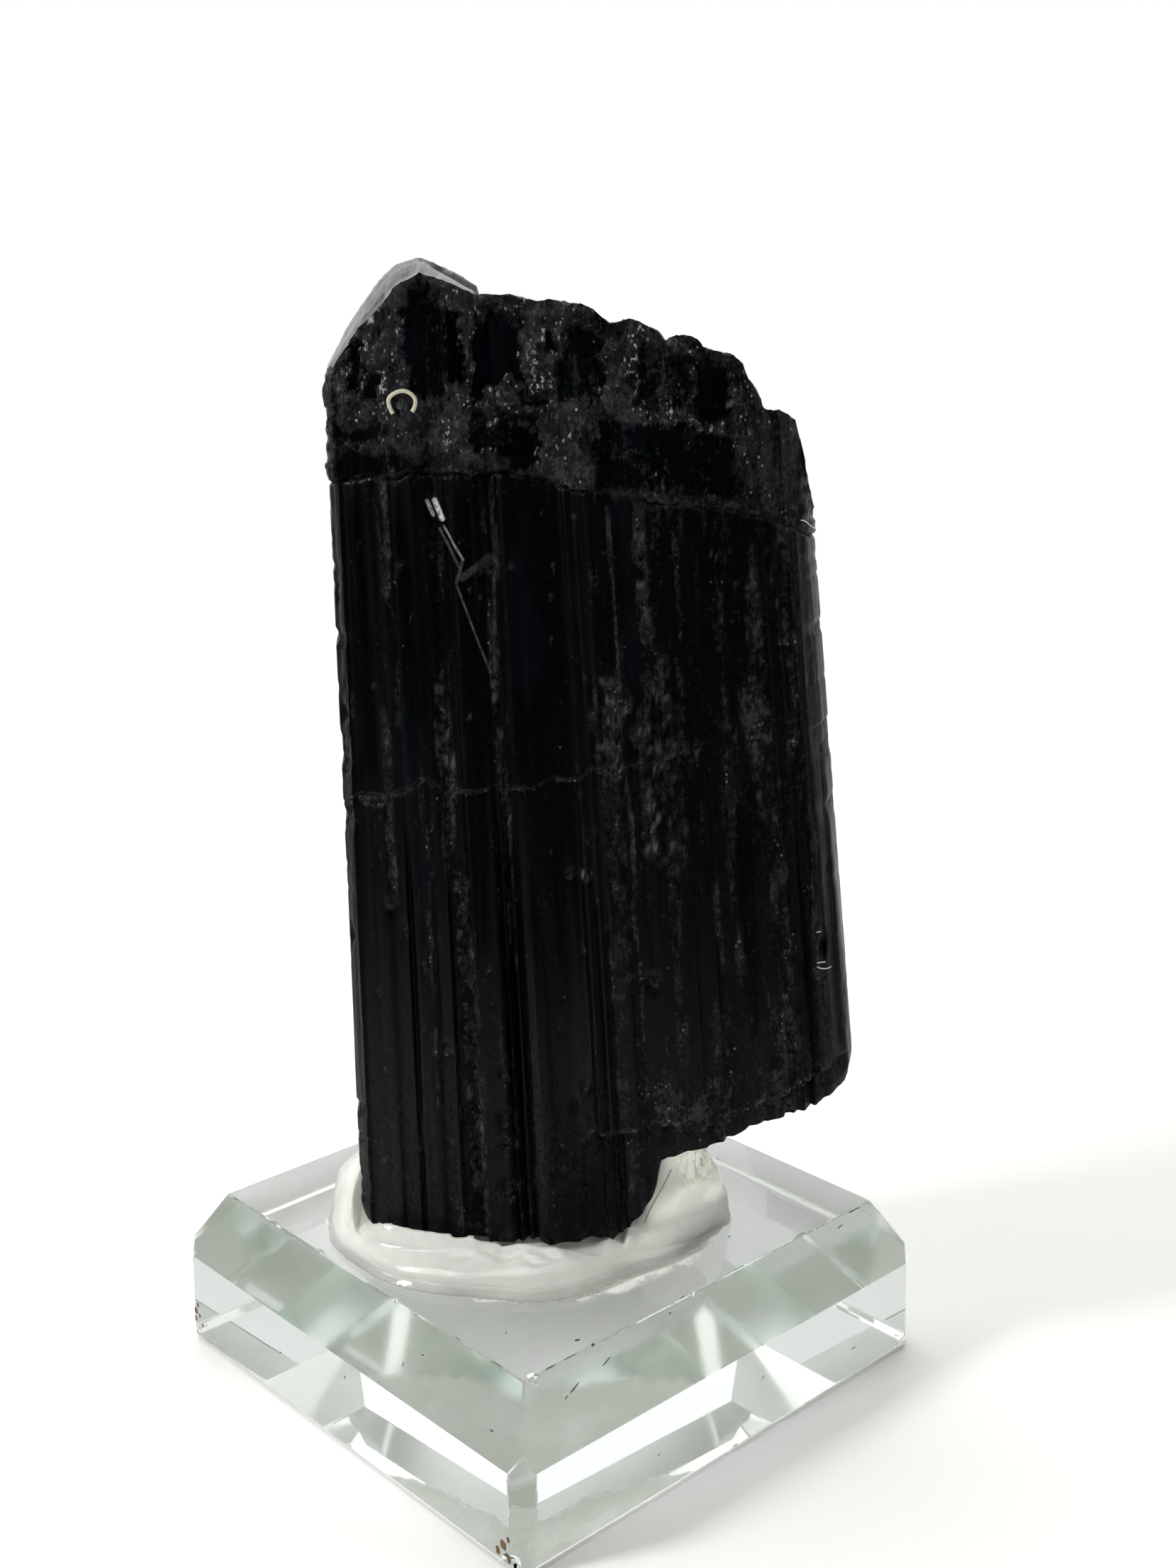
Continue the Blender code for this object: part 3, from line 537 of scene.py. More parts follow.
def wide_blotches(place, z, seed):
    """Pitted, dusty patches drawn out along the ribs, from 0 to 1."""
    streaky = rough_noise(place / 0.9, z / 5.5, seed, 3)
    return ramp(0.42, 1.05, streaky)


def pit_field(place, z, size, seed, share):
    """Round pits that fill a share of jittered cells: depth from 0 to 1."""
    number, distance = cells(place / size, z / (size * 0.85), seed)
    radius = 0.32 + 0.30 * chance((number * 9999).astype(np.int64), 7, seed)
    return np.where(number < share, np.maximum(0.0, 1.0 - (distance / radius) ** 2), 0.0)


def front_relief(x0, x, z, knots):
    """Everything broken, cracked or dusty on the front: outward offset, dust, gloss and painted shine, the
    painted glints and highlights.
    """
    ledge, middle, cap = knots
    push = stripe_relief(x0, z, 51)
    right_side = ramp(12.0, 22.0, x)
    dust = (0.20 + 0.22 * right_side) * wide_blotches(x0, z, 61) + 0.06 + 0.12 * right_side
    lozenge = ramp(0.15, 0.7, rough_noise(x0 / 1.4, z / 9.0, 63, 2)) * right_side
    dust += 0.30 * lozenge
    gloss = np.zeros_like(x)
    # Painted shine: glints and highlights painted into the colour, at pits, strong bruises and the ledge's
    # lip.
    painted_shine = np.zeros_like(x)
    grain = rough_noise(x / 0.55, z / 0.5, 71, 3)

    for place, half, low, high, strength, pitting in STREAKS:
        wander = 0.22 * soft_noise(z / 4.0, z * 0.0 + place, 73)
        band = fade(0.55 * half, 1.25 * half, np.abs(x0 + wander - place))
        band = band * ramp(low - 2.0, low + 1.5, z) * fade(high - 1.5, high + 2.0, z)
        gaps = ramp(-0.5, 0.5, rough_noise(x0 / 0.8, z / 2.6, 75 + int(place * 10) % 50, 3) + 0.15)
        broken = band * (gaps if half > 0.2 else 0.7 + 0.3 * gaps)
        dust += 1.35 * strength * broken * (0.75 + 0.25 * grain)
        pits = pit_field(x0, z, 0.95, 81 + int(place * 10) % 40, 0.75)
        push = push - pitting * band * 0.34 * pits - 0.05 * pitting * broken * grain
        dust += 0.35 * pitting * band * pits
        # Painted glints in the pits of the streaks.
        painted_shine += 0.22 * pitting * band * pits * ramp(0.35, 0.85, grain)

    for place, half, low, high in SHINY:
        band = fade(0.6 * half, 1.1 * half, np.abs(x0 - place))
        band = band * ramp(low - 3.0, low + 2.0, z) * fade(high - 2.0, high + 3.0, z)
        gloss = np.maximum(gloss, 0.8 * band)
        dust = dust * (1.0 - 0.75 * band)

    for place_x, place_z, half_x, half_z, depth, strength in BRUISES:
        wobble = 0.30 * rough_noise(x / 0.6 + place_x, z / 0.6, 91, 2)
        reach = np.hypot((x - place_x) / half_x, (z - place_z) / half_z) + wobble
        hollow = fade(0.35, 1.15, reach)
        push -= depth * hollow
        dust += strength * hollow * (0.65 + 0.35 * grain)
        # Painted glints in the dustiest bruises.
        painted_shine += 0.5 * ramp(0.75, 1.0, strength) * hollow * ramp(0.3, 0.9, grain)

    specks, distance = cells(x0 / 1.5, z / 2.6, 97)
    speck = np.where(specks < 0.16, np.maximum(0.0, 1.0 - (distance / 0.17) ** 2), 0.0)
    push -= 0.12 * speck
    dust += 0.5 * speck

    # The broken cap.
    above = ramp(0.02, 0.30, z - cap)
    jutting = fade(5.6, 7.2, x)
    rubble = 0.16 * rough_noise(x / 1.5, z / 1.2, 101, 4)
    number, distance = cells(x / 1.9 + 0.3 * grain, z / 1.6, 105)
    rubble += 0.42 * (number - 0.5) * ramp(0.0, 0.25, 0.62 - distance)
    fine_break = 0.07 * rough_noise(x / 0.42, z / 0.42, 111, 2)
    calm = ramp(14.0, 18.0, x) * fade(90.0, 93.0, z)
    window = 0.0
    clean = 0.0
    lie_back = 0.0
    wavy_x = x + 0.42 * rough_noise(x / 1.1, z / 0.9, 115, 4)
    wavy_z = z + 0.55 * rough_noise(x / 0.9 + 5.0, z / 1.1, 119, 4)
    for outline, depth, share in CAP_WINDOWS:
        here = inside(outline, wavy_x, wavy_z, 0.25)
        window = np.maximum(window, here)
        clean = np.maximum(clean, here * share)
        lie_back += here * depth
    wild = above * (1.0 - window) * (1.0 - 0.65 * calm)
    cap_push = (0.42 * jutting - 0.08) + wild * (rubble + fine_break) - lie_back * above
    lump = inside(CAP_LUMP, wavy_x, wavy_z, 0.5)
    cap_push += 0.55 * lump
    push += above * cap_push
    rub = ramp(-0.6, 0.6, rough_noise(x / 1.5, z / 1.2, 123, 4) + 0.25 * grain)
    streaky = ramp(-0.2, 0.7, rough_noise(x0 / 0.7, z / 4.5, 125, 3))
    wide = ramp(-0.7, 0.7, rough_noise(x / 2.6 + 4.0, z / 2.1, 129, 2))
    rub = rub * (0.55 + 0.45 * wide)
    dust += above * (1.0 - clean) * (1.0 - calm) * (0.24 + 0.50 * rub) * (0.85 + 0.15 * grain)
    dust = dust + above * calm * (0.12 + 0.38 * streaky + 0.15 * rub) * (1.0 - clean) + 0.12 * lump
    gloss = gloss * (1.0 - above) + above * window * 0.85
    dust = dust * (1.0 - above * clean)

    # Cracks: the long one under the cap, the middle one in two parts and the one above the cap crack.
    upper = on_line(UPPER_CRACK, x) + 0.2 * rough_noise(x / 1.1, x * 0.0, 127, 3)
    for line_z, left, right, depth, wide, strength in (
        (cap, -18.0, 29.0, 0.26, 0.16, 0.55),
        (middle, -18.0, -4.8, 0.20, 0.15, 0.60),
        (middle, -4.8, 15.6, 0.12, 0.11, 0.50),
        (upper, -18.0, 13.0, 0.22, 0.26, 0.3),
    ):
        reach = np.abs(z - line_z)
        span = ramp(left - 0.6, left + 0.6, x) * fade(right - 0.6, right + 0.6, x)
        patchy = 0.62 + 0.38 * soft_noise(x / 1.7, x * 0.0 + depth * 50, 131)
        push -= depth * span * bell(reach, wide)
        dust += strength * span * patchy * bell(reach, 1.7 * wide)
    shelf = ramp(6.0, 8.0, x) * fade(22.5, 25.0, x)
    dust += 0.35 * shelf * bell(z - cap - 0.25, 0.42) * (0.7 + 0.3 * grain)

    # The ledge low on the right, where a skin has gone, and the rough flesh above it.
    below = fade(-0.16, 0.06, z - ledge) * ramp(3.6, 4.6, x)
    push = push * (1.0 - 0.6 * below) - LEDGE_DEPTH * below
    lip = bell(z - ledge - 0.05, 0.30) * ramp(3.6, 4.8, x)
    push += 0.12 * lip * grain
    dust += lip * (0.62 + 0.30 * grain) * (0.70 + 0.30 * ramp(16.5, 18.5, x))
    # Painted highlight along the lip.
    painted_shine += 0.10 * lip * ramp(0.2, 0.8, grain)
    flesh = ramp(0.0, 1.5, x - 9.6) * fade(16.6, 17.8, x) * bell(z - ledge - 1.6, 2.4)
    push -= flesh * (0.18 * rough_noise(x / 1.0, z / 0.9, 137, 3) + 0.25 * pit_field(x, z, 0.8, 141, 0.5))
    dust += 0.42 * flesh
    dust += 0.16 * fade(24.0, 46.0, z)
    return push, np.clip(dust, 0.0, 1.0), np.clip(gloss, 0.0, 1.0), np.clip(painted_shine, 0.0, 1.0)


def back_relief(place, x, z, knots):
    """The unseen back in the same manner: ribs, patches of pits, one crack and a rough cap."""
    _, middle, cap = knots
    push = 1.3 * stripe_relief(place, z, 151)
    grain = rough_noise(place / 0.6, z / 0.55, 155, 3)
    patch = wide_blotches(place, z, 157)
    pits = pit_field(place, z, 1.2, 161, 0.6)
    push -= 0.30 * patch * pits
    dust = 0.30 * patch + 0.25 * patch * pits
    above = ramp(0.0, 0.5, z - cap)
    push += above * (0.10 + 0.20 * rough_noise(x / 1.5, z / 1.2, 167, 4))
    dust += above * 0.35 * ramp(-0.3, 0.8, rough_noise(x / 1.7, z / 1.3, 173, 3))
    for line_z, depth, strength in ((cap, 0.25, 0.5), (middle, 0.12, 0.35)):
        reach = np.abs(z - line_z)
        push -= depth * bell(reach, 0.18)
        dust += strength * bell(reach, 0.3) * (0.7 + 0.3 * grain)
    dust += 0.12 * fade(24.0, 46.0, z)
    return push, np.clip(dust, 0.0, 1.0), 0.25 * (1.0 - patch)


def wall(line, count, front):
    """One upright wall of the crystal: points, dust, gloss, painted shine and travel along its plan."""
    x0, y0, travel = sample_line(line, count, front)
    nx, ny = outward_normals(x0, y0, front)
    knots = [
        end_height(x0, y0, foot_height, 20.0),
        crossing(LEDGE, x0, 5, 0.22),
        crossing(MIDDLE_CRACK, x0, 9, 0.26),
        crossing(CAP_CRACK, x0, 13, 0.26),
        end_height(x0, y0, top_height, 95.0),
    ]
    knots[1] = np.maximum(knots[1], knots[0] + 0.9)
    z = row_heights(knots)
    k = lean(z)
    x = LEAN_EDGE_X + (x0[:, None] - LEAN_EDGE_X) * k
    even = np.convolve(np.pad(y0, 9, mode="edge"), np.ones(19) / 19.0, mode="valid")
    even[[0, -1]] = y0[[0, -1]]
    flatter = 0.78 * ramp(42.0, 64.0, z) + 0.18 * ramp(-0.6, 0.4, z - knots[3][:, None])
    flatter = flatter * (np.abs(x0[:, None] - 5.7) < 20.0)
    y = (y0[:, None] + (even - y0)[:, None] * flatter) * k
    lines = [knot[:, None] for knot in knots[1:4]]
    place = np.broadcast_to((x0 if front else travel)[:, None], x.shape)
    if front:
        push, dust, gloss, painted_shine = front_relief(place, x, z, lines)
        side_push, side_dust, side_gloss = back_relief(travel[:, None] + 0.0 * x, x, z, lines)
        facing = ramp(0.35, 0.75, -ny)[:, None]
        push = facing * push + (1.0 - facing) * side_push
        dust = facing * dust + (1.0 - facing) * side_dust
        gloss = facing * gloss + (1.0 - facing) * side_gloss
        corner = bell(x0[:, None] + 16.4, 0.9)
        corner = corner + 0.7 * bell(x0[:, None] - 28.2, 0.9)
        nick = np.maximum(0.0, rough_noise(z / 1.5, z * 0.0 + 2.0, 181, 4) - 0.1)
        push -= 0.34 * corner * nick
        dust = np.clip(dust + 0.45 * corner * nick, 0.0, 1.0)
    else:
        push, dust, gloss = back_relief(place, x, z, lines)
        painted_shine = np.zeros_like(x)
    rounded = 1.0 - 0.55 * bell(z - z[:, :1], 0.5)
    rounded = rounded - 0.35 * bell(z - z[:, -1:], 0.35)
    push -= 0.30 * (1.0 - rounded)
    points = np.stack([x + push * nx[:, None], y + push * ny[:, None], z], axis=-1)
    return points, np.stack([dust, gloss, painted_shine], -1), travel


def cap_rows(front_edge, back_edge, count, height_of):
    """Points between the front and back edges of an end, without the edges themselves."""
    rows = []
    for i in range(1, count):
        share = i / count
        spread = 0.5 - 0.5 * math.cos(math.pi * share)
        flat = front_edge[:, :2] * (1.0 - spread) + back_edge[:, :2] * spread
        z = height_of(flat[:, 0], flat[:, 1])
        edge = front_edge[:, 2] * (1.0 - spread) + back_edge[:, 2] * spread
        hold = max(math.exp(-(share * 14.0) ** 2), math.exp(-((1.0 - share) * 14.0) ** 2))
        rows.append(np.column_stack([flat, z * (1.0 - hold) + edge * hold]))
    return rows


def end_finish(row, upward):
    """Dust, gloss and painted shine on one row of the top or of the foot. On the termination the painted
    shine is a painted reflection on its facets.
    """
    x = row[:, 0]
    y = row[:, 1]
    if not upward:
        return np.column_stack([np.full(len(x), 0.4), np.zeros(len(x)), np.zeros(len(x))])
    pointed = fade(TIP_END_X, TIP_END_X + 0.55, x)
    worn = 0.30 + 0.40 * ramp(-0.4, 0.8, rough_noise(x / 1.3, y / 1.3, 191, 3))
    toward = toward_front(x, y)
    right = ramp(-8.9, -8.6, x)
    streak = ramp(-0.5, 0.8, rough_noise(toward * 7.0, x / 5.0, 197, 3))
    # Painted reflection on the termination's facets: streaky, and left out in a dark band on the right
    # facets.
    painted_left_reflection = 0.10 + 0.26 * streak
    wander = 0.10 * rough_noise(x / 0.8, x * 0.0, 199, 2)
    low_side = 0.26 + 0.42 * ramp(-8.8, -4.4, x)
    dark = ramp(0.06, 0.14, toward + wander) * fade(low_side - 0.05, low_side + 0.05, toward + wander)
    painted_right_reflection = (0.26 + 0.16 * streak) * (1.0 - 0.97 * dark)
    # film here is the painted reflection of the whole termination.
    film = painted_left_reflection * (1.0 - right) + painted_right_reflection * right
    dusty = worn * (1.0 - pointed) + 0.10 * pointed
    return np.column_stack([dusty, pointed * (1.0 - right * dark), film * pointed])


def cell_corners(grid, outward):
    """The four corners of every cell of a grid, in the order that turns its face outward."""
    slices = (np.s_[:-1, :-1], np.s_[1:, :-1], np.s_[1:, 1:], np.s_[:-1, 1:])
    order = (0, 1, 2, 3) if outward else (0, 3, 2, 1)
    return np.stack([grid[slices[i]].ravel() for i in order], 1)


def crystal_mesh():
    """Both walls, the top and the foot as one closed mesh with dust, gloss, painted shine and a
    rib-following UV map.
    """
    front, front_finish, front_travel = wall(FRONT_LINE, FRONT_COLUMNS, True)
    back, back_finish, back_travel = wall(BACK_LINE, BACK_COLUMNS, False)
    rows = front.shape[1]
    points = [front.reshape(-1, 3)]
    finish = [front_finish.reshape(-1, 3)]
    front_index = np.arange(FRONT_COLUMNS * rows).reshape(FRONT_COLUMNS, rows)
    inner = back[1:-1]
    back_index = np.empty((BACK_COLUMNS, rows), int)
    back_index[0] = front_index[0]
    back_index[-1] = front_index[-1]
    back_index[1:-1] = front_index.size + np.arange(inner.shape[0] * rows).reshape(-1, rows)
    points.append(inner.reshape(-1, 3))
    finish.append(back_finish[1:-1].reshape(-1, 3))
    used = front_index.size + inner.shape[0] * rows

    faces = []
    uvs = []

    def add_wall(index, travel, heights, outward):
        across = np.broadcast_to(travel[:, None], index.shape)
        faces.append(cell_corners(index, outward))
        uvs.append(np.stack([cell_corners(across, outward), cell_corners(heights, outward)], -1))

    back_closed = np.concatenate([front[:1], inner, front[-1:]])
    add_wall(front_index, front_travel, front[..., 2], True)
    add_wall(back_index, back_travel + BACK_UV_SHIFT, back_closed[..., 2], False)
    back_fine = np.linspace(0, BACK_COLUMNS - 1, FRONT_COLUMNS)
    triangles = []
    ends = ((-1, TOP_ROWS, top_height, True), (0, FOOT_ROWS, foot_height, False))
    for end, count, height_of, upward in ends:
        front_edge = front[:, end]
        back_edge = np.column_stack([
            np.interp(back_fine, np.arange(BACK_COLUMNS), back_closed[:, end, axis]) for axis in range(3)
        ])
        grid = cap_rows(front_edge, back_edge, count, height_of)
        index = [front_index[:, end]]
        for row in grid:
            inner_row = row[1:-1]
            points.append(inner_row)
            finish.append(end_finish(inner_row, upward))
            middle_index = used + np.arange(FRONT_COLUMNS - 2)
            used += FRONT_COLUMNS - 2
            index.append(np.concatenate([[front_index[0, end]], middle_index, [front_index[-1, end]]]))
        index = np.stack(index, 1)
        faces.append(cell_corners(index, upward))
        uvs.append(None)
        rim = back_index[:, end]
        for i in range(0, FRONT_COLUMNS - 1, 2):
            first, second, third = index[i : i + 3, -1]
            left, right = rim[i // 2 : i // 2 + 2]
            for triangle in ((first, second, left), (second, third, right), (second, right, left)):
                triangles.append(triangle if upward else triangle[::-1])
    points = np.concatenate(points)
    all_faces = []
    all_uvs = []
    for block, flat in zip(faces, uvs):
        collapsed = (block == np.roll(block, 1, axis=1)).any(axis=1)
        if flat is None:
            flat = points[block][:, :, :2] + END_UV_SHIFT
        for quad, corner in zip(block[~collapsed].tolist(), flat[~collapsed].tolist()):
            all_faces.append(quad)
            all_uvs.extend(corner)
        for quad, corner in zip(block[collapsed].tolist(), flat[collapsed].tolist()):
            kept = [i for i in range(4) if quad[i] not in quad[:i]]
            if len(kept) == 3:
                all_faces.append([quad[i] for i in kept])
                all_uvs.extend(corner[i] for i in kept)
    for triangle in triangles:
        if len(set(triangle)) == 3:
            all_faces.append([int(i) for i in triangle])
            all_uvs.extend(points[i, :2] + END_UV_SHIFT for i in triangle)
    mesh = bpy.data.meshes.new("crystal_skin")
    mesh.from_pydata((points * MM).tolist(), [], all_faces)
    mesh.uv_layers.new(name="ribs").data.foreach_set("uv", np.array(all_uvs, np.float32).ravel())
    for name, values in zip(("dust", "gloss", "painted_shine"), np.concatenate(finish).T):
        paint(mesh, name, values)
    mesh.update()
    return mesh


class NodeMaker:
    """Short ways to add and join the nodes of one material or of the room."""

    def __init__(self, owner):
        self.owner = owner
        owner.use_nodes = True
        self.tree = owner.node_tree
        self.shader = self.tree.nodes.get("Principled BSDF")

    def feed(self, value, socket):
        if isinstance(value, bpy.types.NodeSocket):
            self.tree.links.new(value, socket)
        else:
            socket.default_value = value

    def add(self, kind, inputs=None, **values):
        node = self.tree.nodes.new(kind)
        for key, value in values.items():
            setattr(node, key, value)
        for key, value in (inputs or {}).items():
            self.feed(value, node.inputs[key])
        return node

    def finish(self, inputs):
        """Feeds the shader's sockets and gives the material back."""
        for name, value in inputs.items():
            self.feed(value, self.shader.inputs[name])
        return self.owner

    def math(self, operation, *values, clamp=False):
        inputs = dict(enumerate(values))
        return self.add("ShaderNodeMath", inputs, operation=operation, use_clamp=clamp).outputs[0]

    def times(self, first, second, clamp=False):
        return self.math("MULTIPLY", first, second, clamp=clamp)

    def plus(self, first, second):
        return self.math("ADD", first, second)

    def less(self, first, second):
        return self.math("SUBTRACT", first, second)

    def most(self, first, second):
        return self.math("MAXIMUM", first, second)

    def span(self, value, low, high, to_low=0.0, to_high=1.0):
        """Smooth step between two values as value goes from low to high."""
        inputs = dict(enumerate((value, low, high, to_low, to_high)))
        return self.add("ShaderNodeMapRange", inputs, interpolation_type="SMOOTHSTEP").outputs[0]

    def blend(self, share, first, second):
        inputs = {"Factor": share, "A": first, "B": second}
        return self.add("ShaderNodeMix", inputs, data_type="RGBA").outputs["Result"]

    def place(self, kind="Object"):
        return self.add("ShaderNodeTexCoord").outputs[kind]

    def split(self, place):
        return self.add("ShaderNodeSeparateXYZ", {"Vector": place}).outputs

    def scaled(self, scale, uv=None):
        source = self.add("ShaderNodeUVMap", uv_map=uv).outputs["UV"] if uv else self.place()
        return self.add("ShaderNodeMapping", {"Vector": source, "Scale": scale}).outputs["Vector"]

    def noise(self, scale, detail, rough, uv=None):
        """Noise with this many grains per metre, or per millimetre on a UV map."""
        inputs = {"Vector": self.scaled(scale, uv), "Scale": 1.0, "Detail": detail, "Roughness": rough}
        return self.add("ShaderNodeTexNoise", inputs).outputs["Fac"]

    def vector(self, operation, first, second=None, output="Vector"):
        inputs = {0: first}
        if second is not None:
            inputs["Scale" if operation == "SCALE" else 1] = second
        return self.add("ShaderNodeVectorMath", inputs, operation=operation).outputs[output]

    def line(self, place, start, end, half):
        """1 on the straight line between two places of x and z, 0 farther from it than its half width."""
        first = Vector((start[0], 0.0, start[1]))
        along = Vector((end[0], 0.0, end[1])) - first
        away = self.vector("SUBTRACT", place, tuple(first))
        travel = self.vector("DOT_PRODUCT", away, tuple(along.normalized()), "Value")
        travel = self.math("MINIMUM", self.most(travel, 0.0), along.length)
        nearest = self.vector("SCALE", tuple(along.normalized()), travel)
        gap = self.vector("LENGTH", self.vector("SUBTRACT", away, nearest), None, "Value")
        return self.span(gap, 0.4 * half, 1.2 * half, 1.0, 0.0)

    def value_of(self, name):
        return self.add("ShaderNodeAttribute", attribute_name=name).outputs["Fac"]

    def bump(self, height, distance, normal=None):
        inputs = {"Height": height, "Distance": distance}
        if normal:
            inputs["Normal"] = normal
        return self.add("ShaderNodeBump", inputs).outputs["Normal"]


def tourmaline_material(settings):
    """Near-black stone: clean where it is smooth, grainy, dusty and with painted glints where it is broken,
    and with painted highlights and reflections in its colour.
    """
    make = NodeMaker(bpy.data.materials.new("black_tourmaline"))
    dust = make.value_of("dust")
    gloss = make.value_of("gloss")
    parts = make.split(make.place())
    height = parts["Z"]
    fine = make.noise((5.2, 0.16, 1.0), 2.0, 0.55, "ribs")
    medium = make.noise((2.1, 0.055, 1.0), 2.0, 0.5, "ribs")
    streak = make.noise((3.4, 0.42, 1.0), 4.0, 0.65, "ribs")
    grain = make.noise((2300.0, 2300.0, 2000.0), 6.0, 0.72)
    cloud = make.noise((700.0, 700.0, 350.0), 4.0, 0.6)

    # Crisp patches of dust, whose share follows the painted dust.
    mottle = make.plus(make.times(grain, 0.62), make.times(streak, 0.38))
    dusty = make.span(make.plus(mottle, make.times(dust, 0.55)), 0.60, 0.82)

    # Painted glints in the colour: grouped grains on dusty stone, lone ones anywhere, and clusters of
    # painted flashes on the cap.
    chips = make.add("ShaderNodeTexVoronoi", {"Vector": make.scaled((3300.0, 3300.0, 2800.0)), "Scale": 1.0})
    chip_values = make.add("ShaderNodeSeparateColor", {"Color": chips.outputs["Color"]}).outputs
    group = make.span(make.noise((430.0, 430.0, 430.0), 2.0, 0.5), 0.50, 0.58, 0.10, 1.0)
    painted_glint = make.times(make.span(chip_values["Red"], 0.80, 0.84), make.span(dust, 0.15, 0.5))
    painted_glint = make.times(painted_glint, make.times(group, make.span(chip_values["Blue"], 0.0, 0.8)))
    lone = make.times(make.span(chip_values["Green"], 0.995, 0.998), chip_values["Blue"])
    painted_glint = make.most(painted_glint, make.times(lone, 0.35))
    painted_glint = make.times(painted_glint, make.span(chips.outputs["Distance"], 0.25, 0.45, 1.0, 0.0))
    painted_glint = make.times(painted_glint, make.span(height, 0.084, 0.089, 0.30, 0.65))
    painted_flash = make.span(make.noise((2500.0, 2500.0, 1500.0), 3.0, 0.6), 0.575, 0.635)
    cluster = make.span(make.noise((380.0, 380.0, 300.0), 2.0, 0.5), 0.52, 0.62, 0.10, 1.0)
    painted_flash = make.times(make.times(painted_flash, cluster), make.span(height, 0.0865, 0.090))
    painted_flash = make.times(painted_flash, make.span(dust, 0.18, 0.5, 0.0, 0.60))
    painted_glint = make.most(painted_glint, painted_flash)

    # Colour: clouded stone, lighter towards the foot, then powder, then painted highlights on scratches,
    # painted glints and the painted shine.
    wide = make.noise((170.0, 170.0, 60.0), 3.0, 0.6)
    stone = make.blend(make.span(wide, 0.50, 0.66), settings.stone_colour, settings.stone_tint)
    # The stone's colour is lighter towards the foot.
    toward_foot = make.times(make.span(height, 0.020, 0.050, 1.0, 0.0), make.span(streak, 0.3, 0.62, 0.55, 1.0))
    stone = make.blend(toward_foot, stone, settings.foot_colour)
    patches = make.noise((800.0, 800.0, 650.0), 2.0, 0.6)
    crushed = make.noise((3000.0, 3000.0, 2000.0), 3.0, 0.8)
    uneven = make.plus(make.times(patches, 0.4), make.times(crushed, 0.6))
    powder = make.blend(make.span(uneven, 0.46, 0.57), settings.dust_shade, settings.dust_colour)
    purple = make.times(make.span(wide, 0.42, 0.60), make.span(height, 0.070, 0.086))
    powder = make.blend(purple, powder, make.blend(0.5, powder, settings.dust_tint))
    coated = make.blend(dusty, stone, powder)
    # Painted highlights along the scratches and the flake's rims, on the front only.
    flat = make.scaled((1000.0, 0.0, 1000.0))
    drawn = 0.0
    for start, end, half, strength in SCRATCH_HIGHLIGHTS:
        drawn = make.most(drawn, make.times(make.line(flat, start, end, half), strength))
    drawn = make.times(drawn, make.span(parts["Y"], -0.0088, -0.0078, 1.0, 0.0))
    drawn = make.times(drawn, make.span(grain, 0.40, 0.52, 0.30, 1.0))
    # Painted highlights: the painted glints, the painted highlights on the scratches and the painted shine,
    # mixed into the colour.
    bright = make.most(make.most(painted_glint, drawn), make.value_of("painted_shine"))

    clean = make.span(make.plus(medium, make.times(cloud, 0.5)), 0.45, 1.0, 0.26, 0.46)
    shined = make.less(make.plus(clean, make.times(dusty, 0.25)), make.times(gloss, 0.18))

    # Grooves on clean faces, grain on broken ones, and small faces that tilt the light.
    quiet = make.less(1.0, make.times(gloss, 0.75))
    grooves = make.plus(make.times(fine, 0.8), make.times(medium, 1.3))
    normal = make.bump(make.times(grooves, quiet), settings.groove_depth)
    crumbs = make.times(grain, make.plus(make.times(dusty, 1.2), 0.10))
    normal = make.bump(crumbs, settings.crumb_depth, normal)
    tilt = make.vector("SUBTRACT", chips.outputs["Color"], (0.5, 0.5, 0.5))
    tilt = make.vector("SCALE", tilt, make.times(dusty, 1.1))
    return make.finish({
        "Base Color": make.blend(bright, coated, settings.painted_glint_colour),
        "Roughness": make.math("MINIMUM", make.most(shined, 0.12), 0.85),
        "IOR": 1.62,
        "Specular IOR Level": 0.08,
        "Normal": make.vector("NORMALIZE", make.vector("ADD", normal, tilt)),
    })


def glass_material(settings):
    """Clear glass with a faint grey-green body, fine wear and a cloudy patch under the adhesive."""
    make = NodeMaker(bpy.data.materials.new("clear_glass"))
    middle_x, middle_y, reach_x, reach_y = (value * MM for value in BOND_PATCH)
    place = make.place()
    height = make.split(place)["Z"]
    around = make.add("ShaderNodeMapping", {
        "Vector": place,
        "Location": (-middle_x / reach_x, -middle_y / reach_y, 0.0),
        "Scale": (1.0 / reach_x, 1.0 / reach_y, 0.0),
    }).outputs["Vector"]
    away = make.vector("LENGTH", around, None, "Value")
    edge = make.noise((300.0, 300.0, 300.0), 3.0, 0.6)
    wavy = make.plus(away, make.span(edge, 0.3, 0.7, -0.04, 0.04))
    bond = make.times(make.span(wavy, 0.93, 0.99, 1.0, 0.0), make.span(height, 0.01528, 0.01534))
    cloud = make.noise((160.0, 160.0, 160.0), 3.0, 0.6)
    bond = make.times(bond, make.span(cloud, 0.3, 0.6, 0.75, 1.0))
    smear = make.noise((130.0, 130.0, 130.0), 4.0, 0.6)
    worn = make.plus(make.span(smear, 0.45, 0.75, 0.0, 0.06), make.times(bond, 0.3))
    slope = make.times(make.span(height, 0.0092, 0.0096), make.span(height, 0.01515, 0.0153, 1.0, 0.0))
    wave = make.noise((120.0, 120.0, 120.0), 1.0, 0.5)
    tint = {"Color": settings.body_colour, "Density": settings.body_density}
    body = make.add("ShaderNodeVolumeAbsorption", tint).outputs["Volume"]
    make.feed(body, make.tree.nodes["Material Output"].inputs["Volume"])
    return make.finish({
        "Base Color": make.blend(bond, (1.0, 1.0, 1.0, 1.0), settings.bond_colour),
        "Transmission Weight": make.less(1.0, make.times(bond, 0.9)),
        "Roughness": make.plus(worn, make.times(slope, 0.12)),
        "IOR": 1.51,
        "Normal": make.bump(wave, settings.wave_depth),
    })


